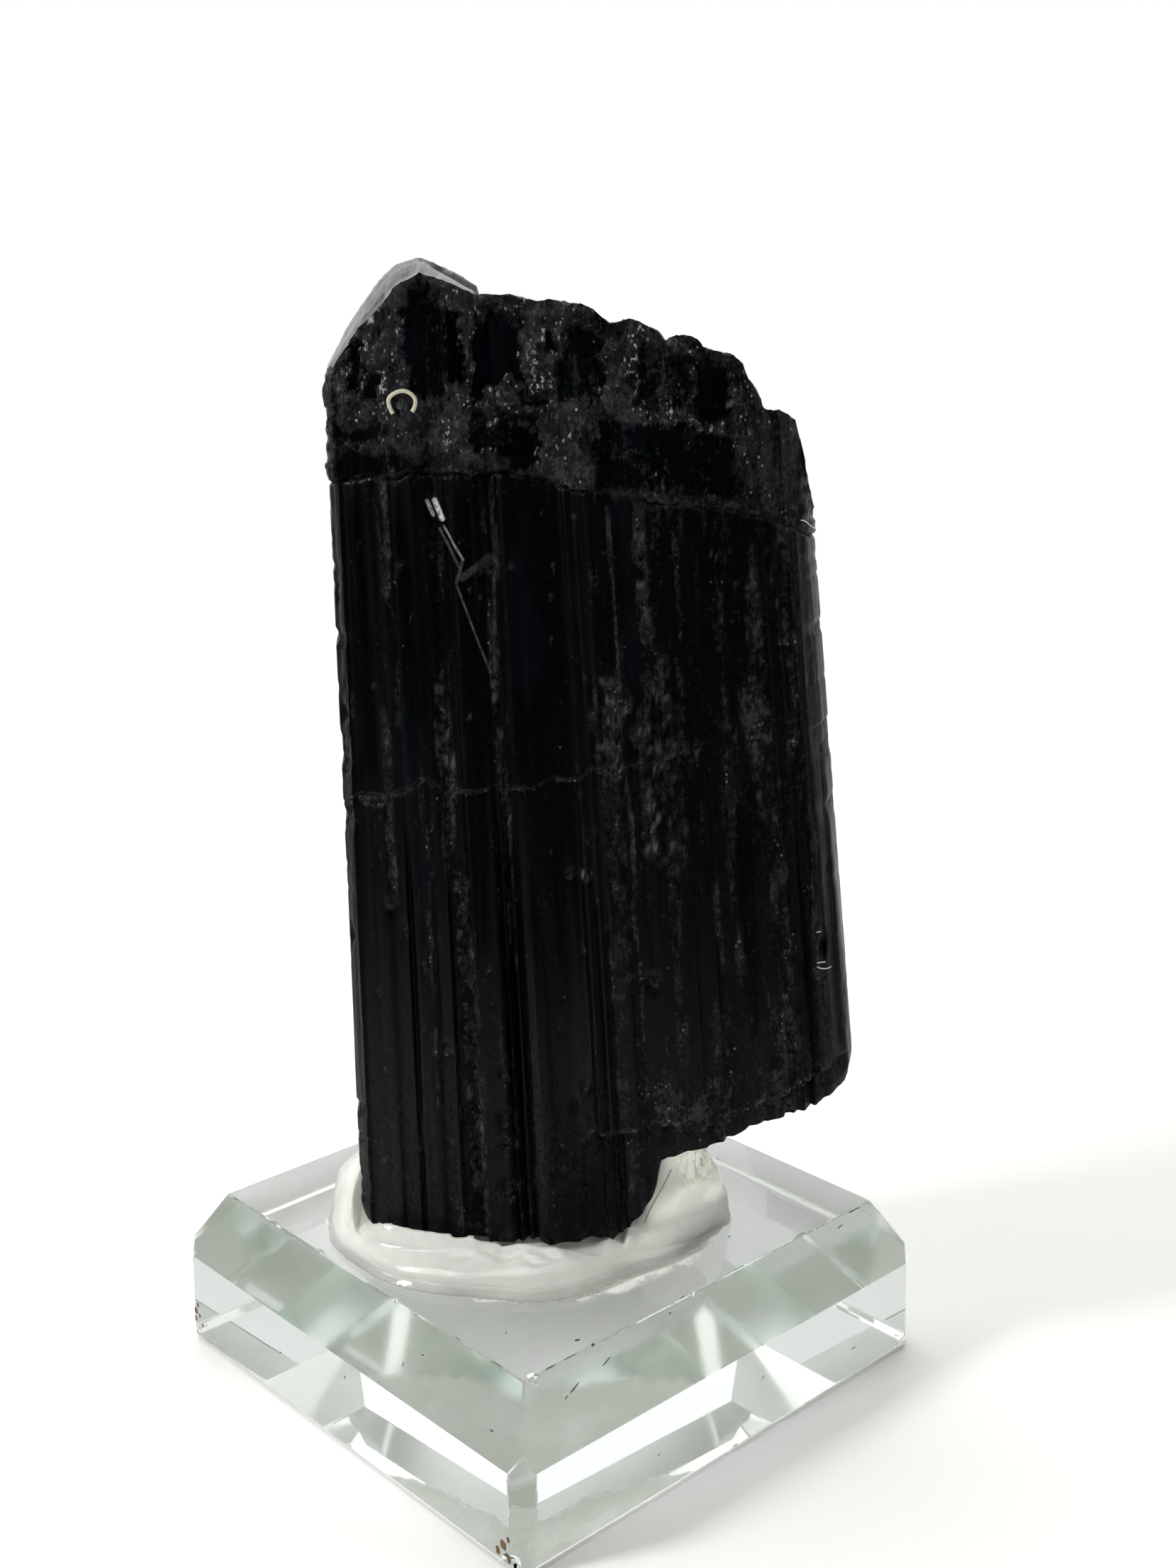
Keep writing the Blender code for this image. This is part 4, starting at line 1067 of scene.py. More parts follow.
def adhesive_material(settings):
    """Dried adhesive: glossy, milky where it is thick and clearer at its thin rim."""
    make = NodeMaker(bpy.data.materials.new("clear_adhesive"))
    cream = make.value_of("cream")
    cloud = make.noise((190.0, 190.0, 260.0), 3.0, 0.5)
    cloudy = make.times(make.value_of("milk"), make.span(cloud, 0.36, 0.60, 0.86, 1.0), clamp=True)
    parts = make.split(make.place())
    corner = make.times(make.span(parts["X"], 0.0115, 0.0145), make.span(parts["Z"], 0.0200, 0.0225))
    dirt = make.span(make.noise((1500.0, 1500.0, 1100.0), 4.0, 0.7), 0.50, 0.60, 0.0, 0.75)
    tone = make.blend(cream, settings.milk_colour, settings.cream_colour)
    tone = make.blend(make.times(corner, dirt), tone, settings.dirt_colour)
    clear = make.span(cloudy, 0.0, 1.0, 1.0, settings.milk_clearness)
    fold = make.noise((420.0, 420.0, 520.0), 2.0, 0.5)
    return make.finish({
        "Base Color": make.blend(cloudy, (0.96, 0.97, 0.96, 1.0), tone),
        "Transmission Weight": make.times(clear, make.span(cream, 0.0, 1.0, 1.0, 0.2)),
        "Roughness": make.plus(make.span(cloud, 0.3, 0.7, 0.02, 0.07), make.times(cream, 0.12)),
        "IOR": 1.47,
        "Subsurface Weight": settings.glow,
        "Subsurface Radius": (1.0, 0.95, 0.8),
        "Subsurface Scale": settings.glow_depth,
        "Normal": make.bump(fold, 0.00004),
    })


def plain_material(name, colour, roughness, speckle):
    """A dry, uneven finish for specks, stains and fibres."""
    make = NodeMaker(bpy.data.materials.new(name))
    grain = make.noise((6000.0, 6000.0, 6000.0), 3.0, 0.6)
    darker = (*(channel * speckle for channel in colour), 1.0)
    return make.finish({
        "Base Color": make.blend(make.span(grain, 0.35, 0.65), darker, (*colour, 1.0)),
        "Roughness": make.span(grain, 0.3, 0.7, roughness, roughness + 0.2),
        "Normal": make.bump(grain, 0.00003),
    })


# Options that most settings share.
COLOUR = {"size": 4, "subtype": "COLOR", "min": 0.0, "max": 1.0}
LENGTH = {"subtype": "DISTANCE", "min": 0.0, "precision": 6}
POWER = {"subtype": "POWER", "min": 0.0}
SHARE = {"subtype": "FACTOR", "min": 0.0, "max": 1.0}


class CrystalSettings(bpy.types.PropertyGroup):
    stone_colour: bpy.props.FloatVectorProperty(
        name="Stone colour", description="Colour of the clean stone",
        default=(0.0003, 0.0010, 0.0008, 1.0), **COLOUR
    )
    stone_tint: bpy.props.FloatVectorProperty(
        name="Stone tint", description="Second colour that clouds the stone",
        default=(0.0010, 0.0016, 0.0030, 1.0), **COLOUR
    )
    foot_colour: bpy.props.FloatVectorProperty(
        name="Veil colour", description="Duller colour of the stone near its foot",
        default=(0.0014, 0.0020, 0.0019, 1.0), **COLOUR
    )
    dust_shade: bpy.props.FloatVectorProperty(
        name="Dust shade", description="Darker colour of dust and of crushed stone",
        default=(0.0024, 0.0032, 0.0030, 1.0), **COLOUR
    )
    dust_colour: bpy.props.FloatVectorProperty(
        name="Dust colour", description="Lighter colour of dust and of crushed stone",
        default=(0.025, 0.028, 0.027, 1.0), **COLOUR
    )
    dust_tint: bpy.props.FloatVectorProperty(
        name="Dust tint", description="Purple-grey colour that clouds the crushed stone",
        default=(0.017, 0.0155, 0.020, 1.0), **COLOUR
    )
    # Colour of the painted glints and highlights mixed into the stone's colour.
    painted_glint_colour: bpy.props.FloatVectorProperty(
        name="Glint colour", description="Colour of single bright grains",
        default=(0.46, 0.46, 0.44, 1.0), **COLOUR
    )
    groove_depth: bpy.props.FloatProperty(
        name="Groove depth", description="Depth of the finest upright grooves", default=0.000035, **LENGTH
    )
    crumb_depth: bpy.props.FloatProperty(
        name="Crumb depth", description="Depth of the grain on broken stone", default=0.00010, **LENGTH
    )


class BaseSettings(bpy.types.PropertyGroup):
    side: bpy.props.FloatProperty(
        name="Side", description="Length of one side of the square base",
        default=2 * HALF_SIDE * MM, **LENGTH
    )
    height: bpy.props.FloatProperty(
        name="Height", description="Height of the base", default=TOP * MM, **LENGTH
    )
    bevel_foot: bpy.props.FloatProperty(
        name="Bevel foot", description="Height at which the top bevel starts",
        default=BEVEL_FOOT * MM, **LENGTH
    )
    bevel_inset: bpy.props.FloatProperty(
        name="Bevel inset", description="How far the top bevel draws in", default=BEVEL_INSET * MM, **LENGTH
    )
    body_colour: bpy.props.FloatVectorProperty(
        name="Body colour", description="Colour that long paths through the glass take",
        default=(0.60, 0.77, 0.65, 1.0), **COLOUR
    )
    bond_colour: bpy.props.FloatVectorProperty(
        name="Bond colour", description="Colour of the cloudy patch under the adhesive",
        default=(0.95, 0.94, 0.87, 1.0), **COLOUR
    )
    wave_depth: bpy.props.FloatProperty(
        name="Wave depth", description="Depth of the slow waves in the polished faces",
        default=0.000003, **LENGTH
    )
    body_density: bpy.props.FloatProperty(
        name="Body density", description="How strongly the glass takes that colour", default=4.6, min=0.0,
    )


class AdhesiveSettings(bpy.types.PropertyGroup):
    milk_colour: bpy.props.FloatVectorProperty(
        name="Milk colour", description="Colour where the adhesive is cloudy",
        default=(0.99, 0.99, 0.88, 1.0), **COLOUR
    )
    dirt_colour: bpy.props.FloatVectorProperty(
        name="Dirt colour", description="Dust stuck to the tongue's upper edge",
        default=(0.42, 0.39, 0.32, 1.0), **COLOUR
    )
    cream_colour: bpy.props.FloatVectorProperty(
        name="Cream colour", description="Colour of the raised tongue",
        default=(0.99, 0.985, 0.84, 1.0), **COLOUR
    )
    milk_clearness: bpy.props.FloatProperty(
        name="Milk clearness", description="Share of light that cloudy adhesive lets through",
        default=0.30, **SHARE
    )
    glow: bpy.props.FloatProperty(
        name="Glow", description="Share of light that wanders inside cloudy adhesive", default=0.4, **SHARE
    )
    glow_depth: bpy.props.FloatProperty(
        name="Glow depth", description="How far light wanders inside it", default=0.005, **LENGTH
    )
    wrinkle: bpy.props.FloatProperty(
        name="Wrinkle", description="Height of the folds in the adhesive", default=0.00022, **LENGTH
    )


class StageSettings(bpy.types.PropertyGroup):
    camera_place: bpy.props.FloatVectorProperty(
        name="Camera place", description="Where the camera stands",
        default=(0.01128, -0.16622, 0.10419), size=3, subtype="TRANSLATION", precision=5,
    )
    camera_pan: bpy.props.FloatProperty(
        name="Pan", description="Turn of the view away from +Y towards -X",
        default=math.radians(2.365), subtype="ANGLE",
    )
    camera_pitch: bpy.props.FloatProperty(
        name="Pitch", description="Downward tilt of the view", default=math.radians(15.862), subtype="ANGLE",
    )
    camera_roll: bpy.props.FloatProperty(
        name="Roll", description="Roll of the view", default=math.radians(-0.575), subtype="ANGLE",
    )
    lens: bpy.props.FloatProperty(
        name="Lens", description="Focal length in millimetres on a 36 mm side", default=43.76, min=10.0,
    )
    floor_colour: bpy.props.FloatVectorProperty(
        name="Floor colour", description="Colour of the pale floor",
        default=(0.78, 0.78, 0.75, 1.0), **COLOUR
    )
    # The backdrop's colour, also painted on the floor under the base as painted light that passes through
    # the glass.
    backdrop_and_painted_light_colour: bpy.props.FloatVectorProperty(
        name="Backdrop colour", description="Colour of the backdrop and of the floor under the base",
        default=(0.97, 0.97, 0.97, 1.0), **COLOUR
    )
    shade_colour: bpy.props.FloatVectorProperty(
        name="Floor shade", description="Colour of the far front of the floor in mirror reflections",
        default=(0.06, 0.06, 0.06, 1.0), **COLOUR
    )
    over_power: bpy.props.FloatProperty(
        name="Overhead power", description="Power of the light above", default=1.12, **POWER
    )
    side_power: bpy.props.FloatProperty(
        name="Side power", description="Power of the light on the left", default=1.6, **POWER
    )
    fill_power: bpy.props.FloatProperty(
        name="Fill power", description="Power of the light from the front", default=1.25, **POWER
    )
    back_power: bpy.props.FloatProperty(
        name="Backdrop power", description="Power of the light on the backdrop", default=10.4, **POWER
    )
    low_pale: bpy.props.FloatProperty(
        name="Pale at the horizon", description="Strength of the pale room seen level through the glass",
        default=0.62, min=0.0,
    )
    high_pale: bpy.props.FloatProperty(
        name="Pale above", description="Strength of the pale room seen upwards through the glass",
        default=1.02, min=0.0,
    )
    room_light: bpy.props.FloatProperty(
        name="Room light", description="Strength of the light that surrounds the crystal",
        default=0.035, min=0.0,
    )


class TOURMALINE_OT_crystal(bpy.types.Operator):
    """Builds the ribbed crystal with its termination, cracks, ledge and pits"""

    bl_idname = "tourmaline.crystal"
    bl_label = "Crystal"

    def execute(self, context):
        clear_selection()
        piece = new_piece("crystal_skin", crystal_mesh())
        bpy.ops.object.shade_smooth_by_angle(angle=math.radians(48))
        settle(piece, tourmaline_material(context.scene.tourmaline_crystal))
        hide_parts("tourmaline_crystal")
        return {"FINISHED"}


def bevelled_block(settings):
    """The base as by hand: a cube whose top is extruded and drawn in, then its corners cut."""
    bpy.ops.mesh.primitive_cube_add(size=1.0, location=(0.0, 0.0, 0.0))
    block = bpy.context.active_object
    block.name = "glass_block"
    straight = settings.bevel_foot - FOOT_CHAMFER * MM
    block.scale = (settings.side, settings.side, straight)
    block.location = (0.0, 0.0, FOOT_CHAMFER * MM + straight / 2)
    bpy.ops.object.transform_apply(location=True, rotation=True, scale=True)
    ends = (
        (1.0, settings.height - settings.bevel_foot, settings.bevel_inset),
        (-1.0, -FOOT_CHAMFER * MM, FOOT_CHAMFER * MM),
    )
    bpy.ops.object.mode_set(mode="EDIT")
    for direction, rise, inset in ends:
        mesh = bmesh.from_edit_mesh(block.data)
        for face in mesh.faces:
            face.select_set(face.normal.z * direction > 0.9)
        bmesh.update_edit_mesh(block.data)
        bpy.ops.mesh.extrude_region_move(TRANSFORM_OT_translate={"value": (0.0, 0.0, rise)})
        share = 1.0 - 2.0 * inset / settings.side
        bpy.ops.transform.resize(value=(share, share, 1.0), center_override=(0.0, 0.0, 0.0))
    reach = settings.side / math.sqrt(2) - CORNER_CUT_LOW * MM
    slope = (CORNER_CUT_HIGH - CORNER_CUT_LOW) * MM / settings.bevel_foot
    for quarter in range(4):
        angle = math.radians(45 + 90 * quarter)
        outward = Vector((math.cos(angle), math.sin(angle), 0.0))
        bpy.ops.mesh.select_all(action="SELECT")
        bpy.ops.mesh.bisect(
            plane_co=outward * reach, plane_no=(outward.x, outward.y, slope), use_fill=True, clear_outer=True
        )
    bpy.ops.mesh.select_all(action="SELECT")
    bpy.ops.transform.rotate(value=math.radians(45), orient_axis="Z", center_override=(0.0, 0.0, 0.0))
    bpy.ops.mesh.normals_make_consistent(inside=False)
    bpy.ops.object.mode_set(mode="OBJECT")
    apply_modifier(block, "BEVEL", "soft_edges", width=EDGE_ROUND * MM, segments=2, limit_method="ANGLE")
    return block


def chip_shape(number, place, radius):
    """A small faceted pebble that bites one chip out of an edge."""
    bpy.ops.mesh.primitive_ico_sphere_add(subdivisions=2, radius=radius * MM, location=Vector(place) * MM)
    pebble = bpy.context.active_object
    bpy.ops.object.transform_apply(location=True, rotation=True, scale=True)
    shape = random.Random(500 + number)
    middle = Vector(place) * MM
    for point in pebble.data.vertices:
        point.co = middle + (point.co - middle) * shape.uniform(0.72, 1.18)
    return pebble


class TOURMALINE_OT_glass_base(bpy.types.Operator):
    """Builds the clear square base with its bevel, soft edges and chips"""

    bl_idname = "tourmaline.glass_base"
    bl_label = "Glass base"

    def execute(self, context):
        clear_selection()
        settings = context.scene.tourmaline_base
        block = bevelled_block(settings)
        for number, (place, radius) in enumerate(CHIPS):
            clear_selection()
            pebble = chip_shape(number, place, radius)
            apply_modifier(block, "BOOLEAN", "chip", operation="DIFFERENCE", solver="EXACT", object=pebble)
            bpy.data.objects.remove(pebble)
        make_active(block)
        bpy.ops.object.shade_flat()
        settle(block, glass_material(settings))
        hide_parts("glass_base")
        return {"FINISHED"}


class TOURMALINE_OT_adhesive(bpy.types.Operator):
    """Builds the clear adhesive round the foot, with its rim, folds and tongue"""

    bl_idname = "tourmaline.adhesive"
    bl_label = "Adhesive"

    def execute(self, context):
        clear_selection()
        settings = context.scene.tourmaline_adhesive
        top = context.scene.tourmaline_base.height / MM
        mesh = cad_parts["adhesive"].data.copy()
        mesh.name = "adhesive_pad"
        piece = new_piece("adhesive_pad", mesh)
        bpy.ops.object.mode_set(mode="EDIT")
        bpy.ops.mesh.select_all(action="SELECT")
        bpy.ops.mesh.remove_doubles(threshold=0.00002)
        bpy.ops.object.mode_set(mode="OBJECT")
        apply_modifier(piece, "REMESH", "even", mode="VOXEL", voxel_size=0.00030)
        apply_modifier(piece, "SMOOTH", "soft", factor=0.6, iterations=6)
        self.shape(piece, settings.wrinkle / MM, top)
        bpy.ops.object.shade_smooth()
        settle(piece, adhesive_material(settings))
        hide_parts("adhesive")
        return {"FINISHED"}

    def shape(self, piece, wrinkle, top):
        """Moves the points into folds, seats the pad on the glass and marks where it is milky."""
        mesh = piece.data
        count = len(mesh.vertices)
        points = np.empty(count * 3)
        normals = np.empty(count * 3)
        mesh.vertices.foreach_get("co", points)
        mesh.vertices.foreach_get("normal", normals)
        points = points.reshape(-1, 3) / MM
        normals = normals.reshape(-1, 3)
        x, y, z = points.T
        angle = np.arctan2(y - PAD_CENTRE[1], x - PAD_CENTRE[0])
        radius = np.hypot(x - PAD_CENTRE[0], y - PAD_CENTRE[1])
        calm = ramp(16.2, 17.2, z) * fade(18.4, 19.2, z)
        ridge = wrinkle * calm * 0.5 * rough_noise(x / 4.5, y / 4.5 + z / 4.0, 215, 2)
        tongue = ramp(18.4, 19.6, z)
        plane = rough_noise(x / 3.4 + z / 4.0, y / 3.0 - z / 2.6, 219, 2)
        ridge += tongue * wrinkle * (1.6 * plane + 1.8 * np.abs(plane - 0.1))
        points = points + normals * ridge[:, None]
        drop = fade(15.7, 16.4, z)
        points[:, 2] = np.maximum(points[:, 2] - PAD_SINK * drop, top + PAD_GAP)

        # The pad is a thin film: a beaded rim, a flat part, the edge of a second layer, then up to the foot.
        reach = np.degrees(angle)
        slots = np.arange(-180.0, 180.0, 5.0)
        rims = [radius[np.abs((reach - slot + 180.0) % 360.0 - 180.0) < 4.0].max() for slot in slots]
        inward = np.interp(reach, slots, rims, period=360.0) - radius
        wander = rough_noise(angle * 2.2, radius * 0.0, 211, 2)
        film = RIM_FILM + FLAT_RISE * ramp(0.0, 0.7, inward) + FOOT_RISE * ramp(2.6, 6.5, inward)
        film += BEAD * bell(inward - 0.65, 0.30) * (1.0 + wander)
        front = ramp(-160.0, -120.0, reach) * fade(-20.0, 0.0, reach)
        film += LAYER_STEP * front * ramp(0.0, 0.35, inward - 2.5 - 0.9 * wander)
        crumple = ramp(3.6, 5.2, inward) * front * bell(x + 1.0, 6.0)
        film += CRUMPLE * crumple * rough_noise(x / 1.6, y / 0.8, 223, 2)
        ceiling = top + film + 9.0 * ramp(*TONGUE_START, z)
        points[:, 2] = np.minimum(points[:, 2], np.maximum(ceiling, top + PAD_GAP))
        mesh.vertices.foreach_set("co", (points * MM).ravel())
        milk = 0.50 + 0.42 * ramp(0.5, 2.0, inward) + 0.3 * ramp(17.6, 20.5, z) * ramp(7.0, 10.0, x)
        cream = ramp(17.2, 20.5, z) * ramp(5.0, 9.0, x)
        paint(mesh, "milk", milk)
        paint(mesh, "cream", cream)
        mesh.update()


def front_of(x, z):
    """Where the crystal's skin faces the viewer at a place, in millimetres."""
    skin = bpy.data.objects["crystal_skin"]
    hit, place, _, _ = skin.ray_cast(Vector((x, -60.0, z)) * MM, Vector((0.0, 1.0, 0.0)))
    return place.y / MM if hit else -9.0


def thread(name, paths, thickness, material):
    """Fine round fibres along given points, joined into one piece."""
    clear_selection()
    curve = bpy.data.curves.new(name, "CURVE")
    curve.dimensions = "3D"
    curve.bevel_depth = thickness * MM / 2
    curve.bevel_resolution = 3
    curve.use_fill_caps = True
    curve.resolution_u = 6
    for path in paths:
        spline = curve.splines.new("BEZIER")
        spline.bezier_points.add(len(path) - 1)
        for point, place in zip(spline.bezier_points, path):
            point.co = Vector(place) * MM
            point.handle_left_type = "AUTO"
            point.handle_right_type = "AUTO"
    piece = new_piece(name, curve)
    bpy.ops.object.convert(target="MESH")
    bpy.ops.object.mode_set(mode="EDIT")
    bpy.ops.mesh.select_all(action="SELECT")
    bpy.ops.mesh.remove_doubles(threshold=0.000002)
    bpy.ops.mesh.normals_make_consistent(inside=False)
    bpy.ops.object.mode_set(mode="OBJECT")
    bpy.ops.object.shade_smooth()
    return settle(piece, material)


class TOURMALINE_OT_fibres(bpy.types.Operator):
    """Lays the curled pale fibre and the loose hairs on the crystal"""

    bl_idname = "tourmaline.fibres"
    bl_label = "Fibres"

    def execute(self, context):
        centre_x, centre_z = RING_CENTRE
        face = min(front_of(centre_x + dx, centre_z + dz) for dx in (-1, 0, 1) for dz in (-1, 0, 1))
        arc = []
        for i in range(19):
            angle = math.radians(226 - 264 * i / 18)
            wobble = 1.0 + 0.06 * math.sin(3.1 * angle)
            x = centre_x + RING_RADIUS * wobble * math.cos(angle)
            z = centre_z + RING_RADIUS * (0.94 + 0.04 * math.sin(2 * angle)) * math.sin(angle)
            arc.append((x, face - 0.10 - 0.05 * math.cos(angle), z))
        pale = plain_material("pale_fibre", (0.50, 0.46, 0.36), 0.45, 0.75)
        thread("curled_fibre", [arc], RING_THICKNESS, pale)
        white = plain_material("white_hair", (0.55, 0.55, 0.52), 0.4, 0.8)
        laid = [[(x, min(y, front_of(x, z) - 0.05), z) for x, y, z in path] for path in PALE_HAIRS]
        thread("pale_hairs", laid, HAIR_THICKNESS, white)
        dark = plain_material("dark_hair", (0.03, 0.025, 0.02), 0.5, 0.7)
        thread("dark_hair", [DARK_HAIR], DARK_HAIR_THICKNESS, dark)
        return {"FINISHED"}


def flake(name, number, place, direction, length, width):
    """One flat, ragged speck that lies on the base."""
    outward = face_direction(place)
    along = Vector(direction)
    along = (along - outward * along.dot(outward)).normalized()
    across = outward.cross(along)
    bpy.ops.mesh.primitive_ico_sphere_add(subdivisions=2, radius=1.0)
    speck = bpy.context.active_object
    speck.name = f"{name}_{number}"
    shape = random.Random(900 + number)
    turn = Matrix((along, across, outward)).transposed()
    for point in speck.data.vertices:
        local = point.co * shape.uniform(0.7, 1.15)
        local = Vector((local.x * length / 2, local.y * width / 2, local.z * 0.022))
        moved = Vector(place) + turn @ local
        limit = BOX_LIMIT / max(BOX_LIMIT, abs(moved.x), abs(moved.y))
        point.co = Vector((moved.x * limit, moved.y * limit, max(0.03, moved.z))) * MM
    return speck


def side_direction(place):
    return Vector((math.copysign(1.0, place[0]), math.copysign(1.0, place[1]), 0.0)).normalized()


def face_direction(place):
    """Direction straight out of the base's side or bevel. Marks on top are turned as on the bevel."""
    side = side_direction(place)
    if place[2] > BEVEL_FOOT + 0.05:
        return Vector((side.x, side.y, BEVEL_INSET / BEVEL_RISE)).normalized()
    return side


def seat(place):
    """Moves a place onto the base's surface along the direction out of its face."""
    point = Vector(place)
    if point.z > TOP + 0.01:
        return Vector((point.x, point.y, TOP + 0.005))
    side = side_direction(place)
    reach = HALF_SIDE - max(0.0, point.z - BEVEL_FOOT) * BEVEL_INSET / BEVEL_RISE
    return point + side * (reach - point.dot(side))


def joined(name, pieces):
    clear_selection()
    for piece in pieces:
        piece.select_set(True)
    bpy.context.view_layer.objects.active = pieces[0]
    bpy.ops.object.join()
    made = bpy.context.active_object
    made.name = name
    made.data.name = name
    bpy.ops.object.shade_smooth()
    return made


class TOURMALINE_OT_marks(bpy.types.Operator):
    """Sets dark specks, short scratches and rusty stains on the base"""

    bl_idname = "tourmaline.marks"
    bl_label = "Marks"

    def execute(self, context):
        clear_selection()
        specks = []
        for number, (place, direction, length, width) in enumerate(FLECKS):
            specks.append(flake("speck", number, seat(place), direction, length, width))
        grey = plain_material("dark_specks", (0.10, 0.095, 0.085), 0.6, 0.5)
        settle(joined("dark_specks", specks), grey)
        stains = []
        for number, (place, radius) in enumerate(STAINS):
            size = radius * 2, radius * 1.5
            stains.append(flake("stain", 60 + number, seat(place), (0.2, 0.1, 1.0), *size))
        rust = plain_material("rusty_stains", (0.20, 0.105, 0.045), 0.7, 0.45)
        settle(joined("rusty_stains", stains), rust)
        return {"FINISHED"}


def soft_light(name, place, target, size, power, mirrored=True):
    bpy.ops.object.light_add(type="AREA", location=place)
    lamp = bpy.context.active_object
    lamp.name = name
    lamp.data.shape = "RECTANGLE"
    lamp.data.size = size[0]
    lamp.data.size_y = size[1]
    lamp.data.energy = power
    lamp.visible_transmission = False
    lamp.visible_glossy = mirrored
    aim = Vector(target) - Vector(place)
    lamp.rotation_euler = aim.to_track_quat("-Z", "Y").to_euler()
    return lamp


def floor_material(settings):
    """Pale matt floor that ends softly in the room. Its far front is dark in mirror reflections. Under the
    base it takes the backdrop's lighter colour, painted light that passes through the glass.
    """
    make = NodeMaker(bpy.data.materials.new("pale_floor"))
    place = make.place()
    depth = make.split(place)["Y"]
    away = make.vector("LENGTH", place, None, "Value")
    rays = make.add("ShaderNodeLightPath").outputs
    far = make.times(make.span(away, 0.075, 0.15), make.span(depth, 0.02, 0.15, 1.0, 0.0))
    # Painted light under the glass base: the floor there takes the lighter backdrop colour.
    near = make.blend(make.span(away, 0.022, 0.034), settings.backdrop_and_painted_light_colour, settings.floor_colour)
    near = make.blend(make.span(away, 0.2, 0.4), near, settings.backdrop_and_painted_light_colour)
    return make.finish({
        "Base Color": make.blend(make.times(far, rays["Is Glossy Ray"]), near, settings.shade_colour),
        "Alpha": make.less(1.0, make.times(make.span(away, 0.28, 0.48), rays["Is Camera Ray"])),
        "Roughness": 0.65,
        "Specular IOR Level": 0.2,
    })


def pale_room(settings):
    """A room that is pale behind and through the glass, and dim where it would grey the black stone."""
    make = NodeMaker(bpy.data.worlds.new("studio"))
    white = (1.0, 1.0, 1.0, 1.0)
    dim = make.tree.nodes["Background"]
    dim.inputs["Color"].default_value = white
    dim.inputs["Strength"].default_value = settings.room_light
    rays = make.add("ShaderNodeLightPath").outputs
    height = make.split(make.place("Generated"))["Z"]
    rise = make.span(height, -0.05, 0.5, settings.low_pale, settings.high_pale)
    strength = make.most(rise, rays["Is Camera Ray"])
    pale = make.add("ShaderNodeBackground", {"Color": white, "Strength": strength})
    through = make.most(rays["Is Camera Ray"], rays["Is Transmission Ray"])
    mixed = make.add("ShaderNodeMixShader", {0: through, 1: dim.outputs[0], 2: pale.outputs[0]})
    make.feed(mixed.outputs[0], make.tree.nodes["World Output"].inputs["Surface"])
    return make.owner


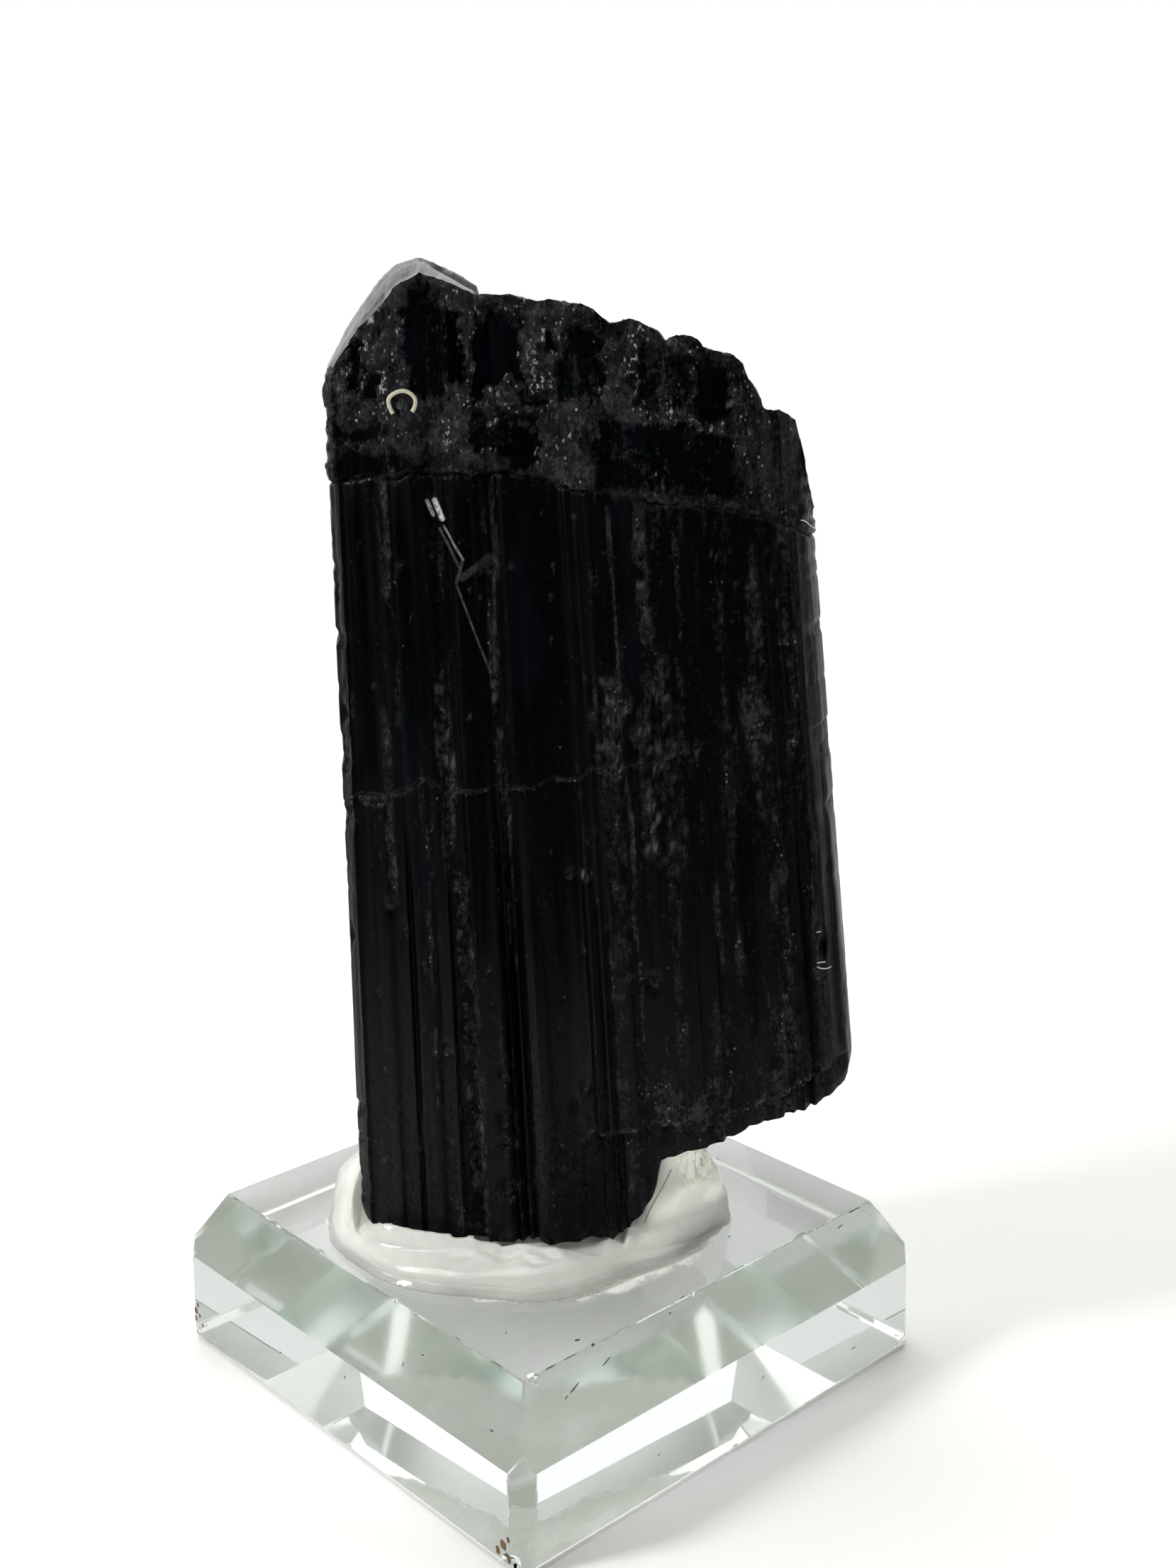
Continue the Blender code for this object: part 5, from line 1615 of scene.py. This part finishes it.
class TOURMALINE_OT_stage(bpy.types.Operator):
    """Makes the pale floor and backdrop, the soft lights and the camera"""

    bl_idname = "tourmaline.stage"
    bl_label = "Stage"

    def execute(self, context):
        clear_selection()
        settings = context.scene.tourmaline_stage
        bpy.ops.mesh.primitive_grid_add(x_subdivisions=8, y_subdivisions=96, size=1.0)
        sweep = context.active_object
        sweep.name = "pale_sweep"
        for point in sweep.data.vertices:
            along = SWEEP_NEAR + SWEEP_LENGTH * (point.co.y + 0.5)
            bend = min(max(0.0, (along - BEND_START) / BEND_RADIUS), math.pi / 2)
            extra = max(0.0, along - BEND_START - BEND_RADIUS * math.pi / 2)
            y = min(along, BEND_START) + BEND_RADIUS * math.sin(bend)
            z = BEND_RADIUS * (1.0 - math.cos(bend)) + extra - FLOOR_DROP
            point.co = (point.co.x * SWEEP_WIDTH, y, z)
        bpy.ops.object.shade_smooth()
        sweep.data.materials.append(floor_material(settings))

        soft_light("overhead", (-0.04, 0.05, 0.46), (0.0, 0.03, 0.0), (0.42, 0.38), settings.over_power)
        soft_light("left", (-0.35, -0.152, 0.28), (0.0, 0.0, 0.03), (0.08, 0.08), settings.side_power)
        soft_light("fill", (0.34, -0.42, 0.16), (0.0, 0.0, 0.03), (0.3, 0.25), settings.fill_power, False)
        soft_light("backdrop_light", (0.0, 0.25, 0.95), (0.0, 0.85, 0.25), (1.8, 0.3), settings.back_power)

        context.scene.world = pale_room(settings)
        context.scene.cycles.max_bounces = 24
        context.scene.cycles.glossy_bounces = 16
        context.scene.cycles.transmission_bounces = 24
        context.scene.view_settings.view_transform = "Standard"

        pan = settings.camera_pan
        pitch = settings.camera_pitch
        level_part = math.cos(pitch)
        forward = Vector((-math.sin(pan) * level_part, math.cos(pan) * level_part, -math.sin(pitch)))
        level = Vector((math.cos(pan), math.sin(pan), 0.0))
        upright = level.cross(forward)
        roll = settings.camera_roll
        right = level * math.cos(roll) + upright * math.sin(roll)
        up = upright * math.cos(roll) - level * math.sin(roll)
        turn = Matrix((right, up, -forward)).transposed()
        bpy.ops.object.camera_add(location=settings.camera_place, rotation=turn.to_euler())
        camera = context.active_object
        camera.name = "photo_camera"
        camera.data.lens = settings.lens
        camera.data.sensor_width = 36.0
        camera.data.clip_start = 0.005
        camera.data.clip_end = 20.0
        context.scene.camera = camera
        return {"FINISHED"}


class TOURMALINE_PT_panel(bpy.types.Panel):
    """Sizes, colours and the steps that build the specimen"""

    bl_idname = "TOURMALINE_PT_panel"
    bl_label = "Tourmaline"
    bl_space_type = "VIEW_3D"
    bl_region_type = "UI"
    bl_category = "Tourmaline"

    def draw(self, context):
        layout = self.layout
        for name, _ in SETTINGS:
            group = getattr(context.scene, name)
            box = layout.box()
            for key in group.bl_rna.properties.keys():
                if key not in {"rna_type", "name"}:
                    box.prop(group, key)
        for step in STEPS:
            layout.operator(step.bl_idname)


SETTINGS = (
    ("tourmaline_crystal", CrystalSettings),
    ("tourmaline_base", BaseSettings),
    ("tourmaline_adhesive", AdhesiveSettings),
    ("tourmaline_stage", StageSettings),
)
STEPS = (
    TOURMALINE_OT_stage,
    TOURMALINE_OT_glass_base,
    TOURMALINE_OT_adhesive,
    TOURMALINE_OT_crystal,
    TOURMALINE_OT_fibres,
    TOURMALINE_OT_marks,
)


def register():
    for name, group in SETTINGS:
        bpy.utils.register_class(group)
        setattr(bpy.types.Scene, name, bpy.props.PointerProperty(type=group))
    for step in STEPS:
        bpy.utils.register_class(step)
    bpy.utils.register_class(TOURMALINE_PT_panel)


def unregister():
    bpy.utils.unregister_class(TOURMALINE_PT_panel)
    for step in reversed(STEPS):
        bpy.utils.unregister_class(step)
    for name, group in reversed(SETTINGS):
        delattr(bpy.types.Scene, name)
        bpy.utils.unregister_class(group)


def main():
    register()
    bpy.ops.tourmaline.stage()
    bpy.ops.tourmaline.glass_base()
    bpy.ops.tourmaline.adhesive()
    bpy.ops.tourmaline.crystal()
    bpy.ops.tourmaline.fibres()
    bpy.ops.tourmaline.marks()
    clear_selection()


if __name__ == "__main__":
    main()
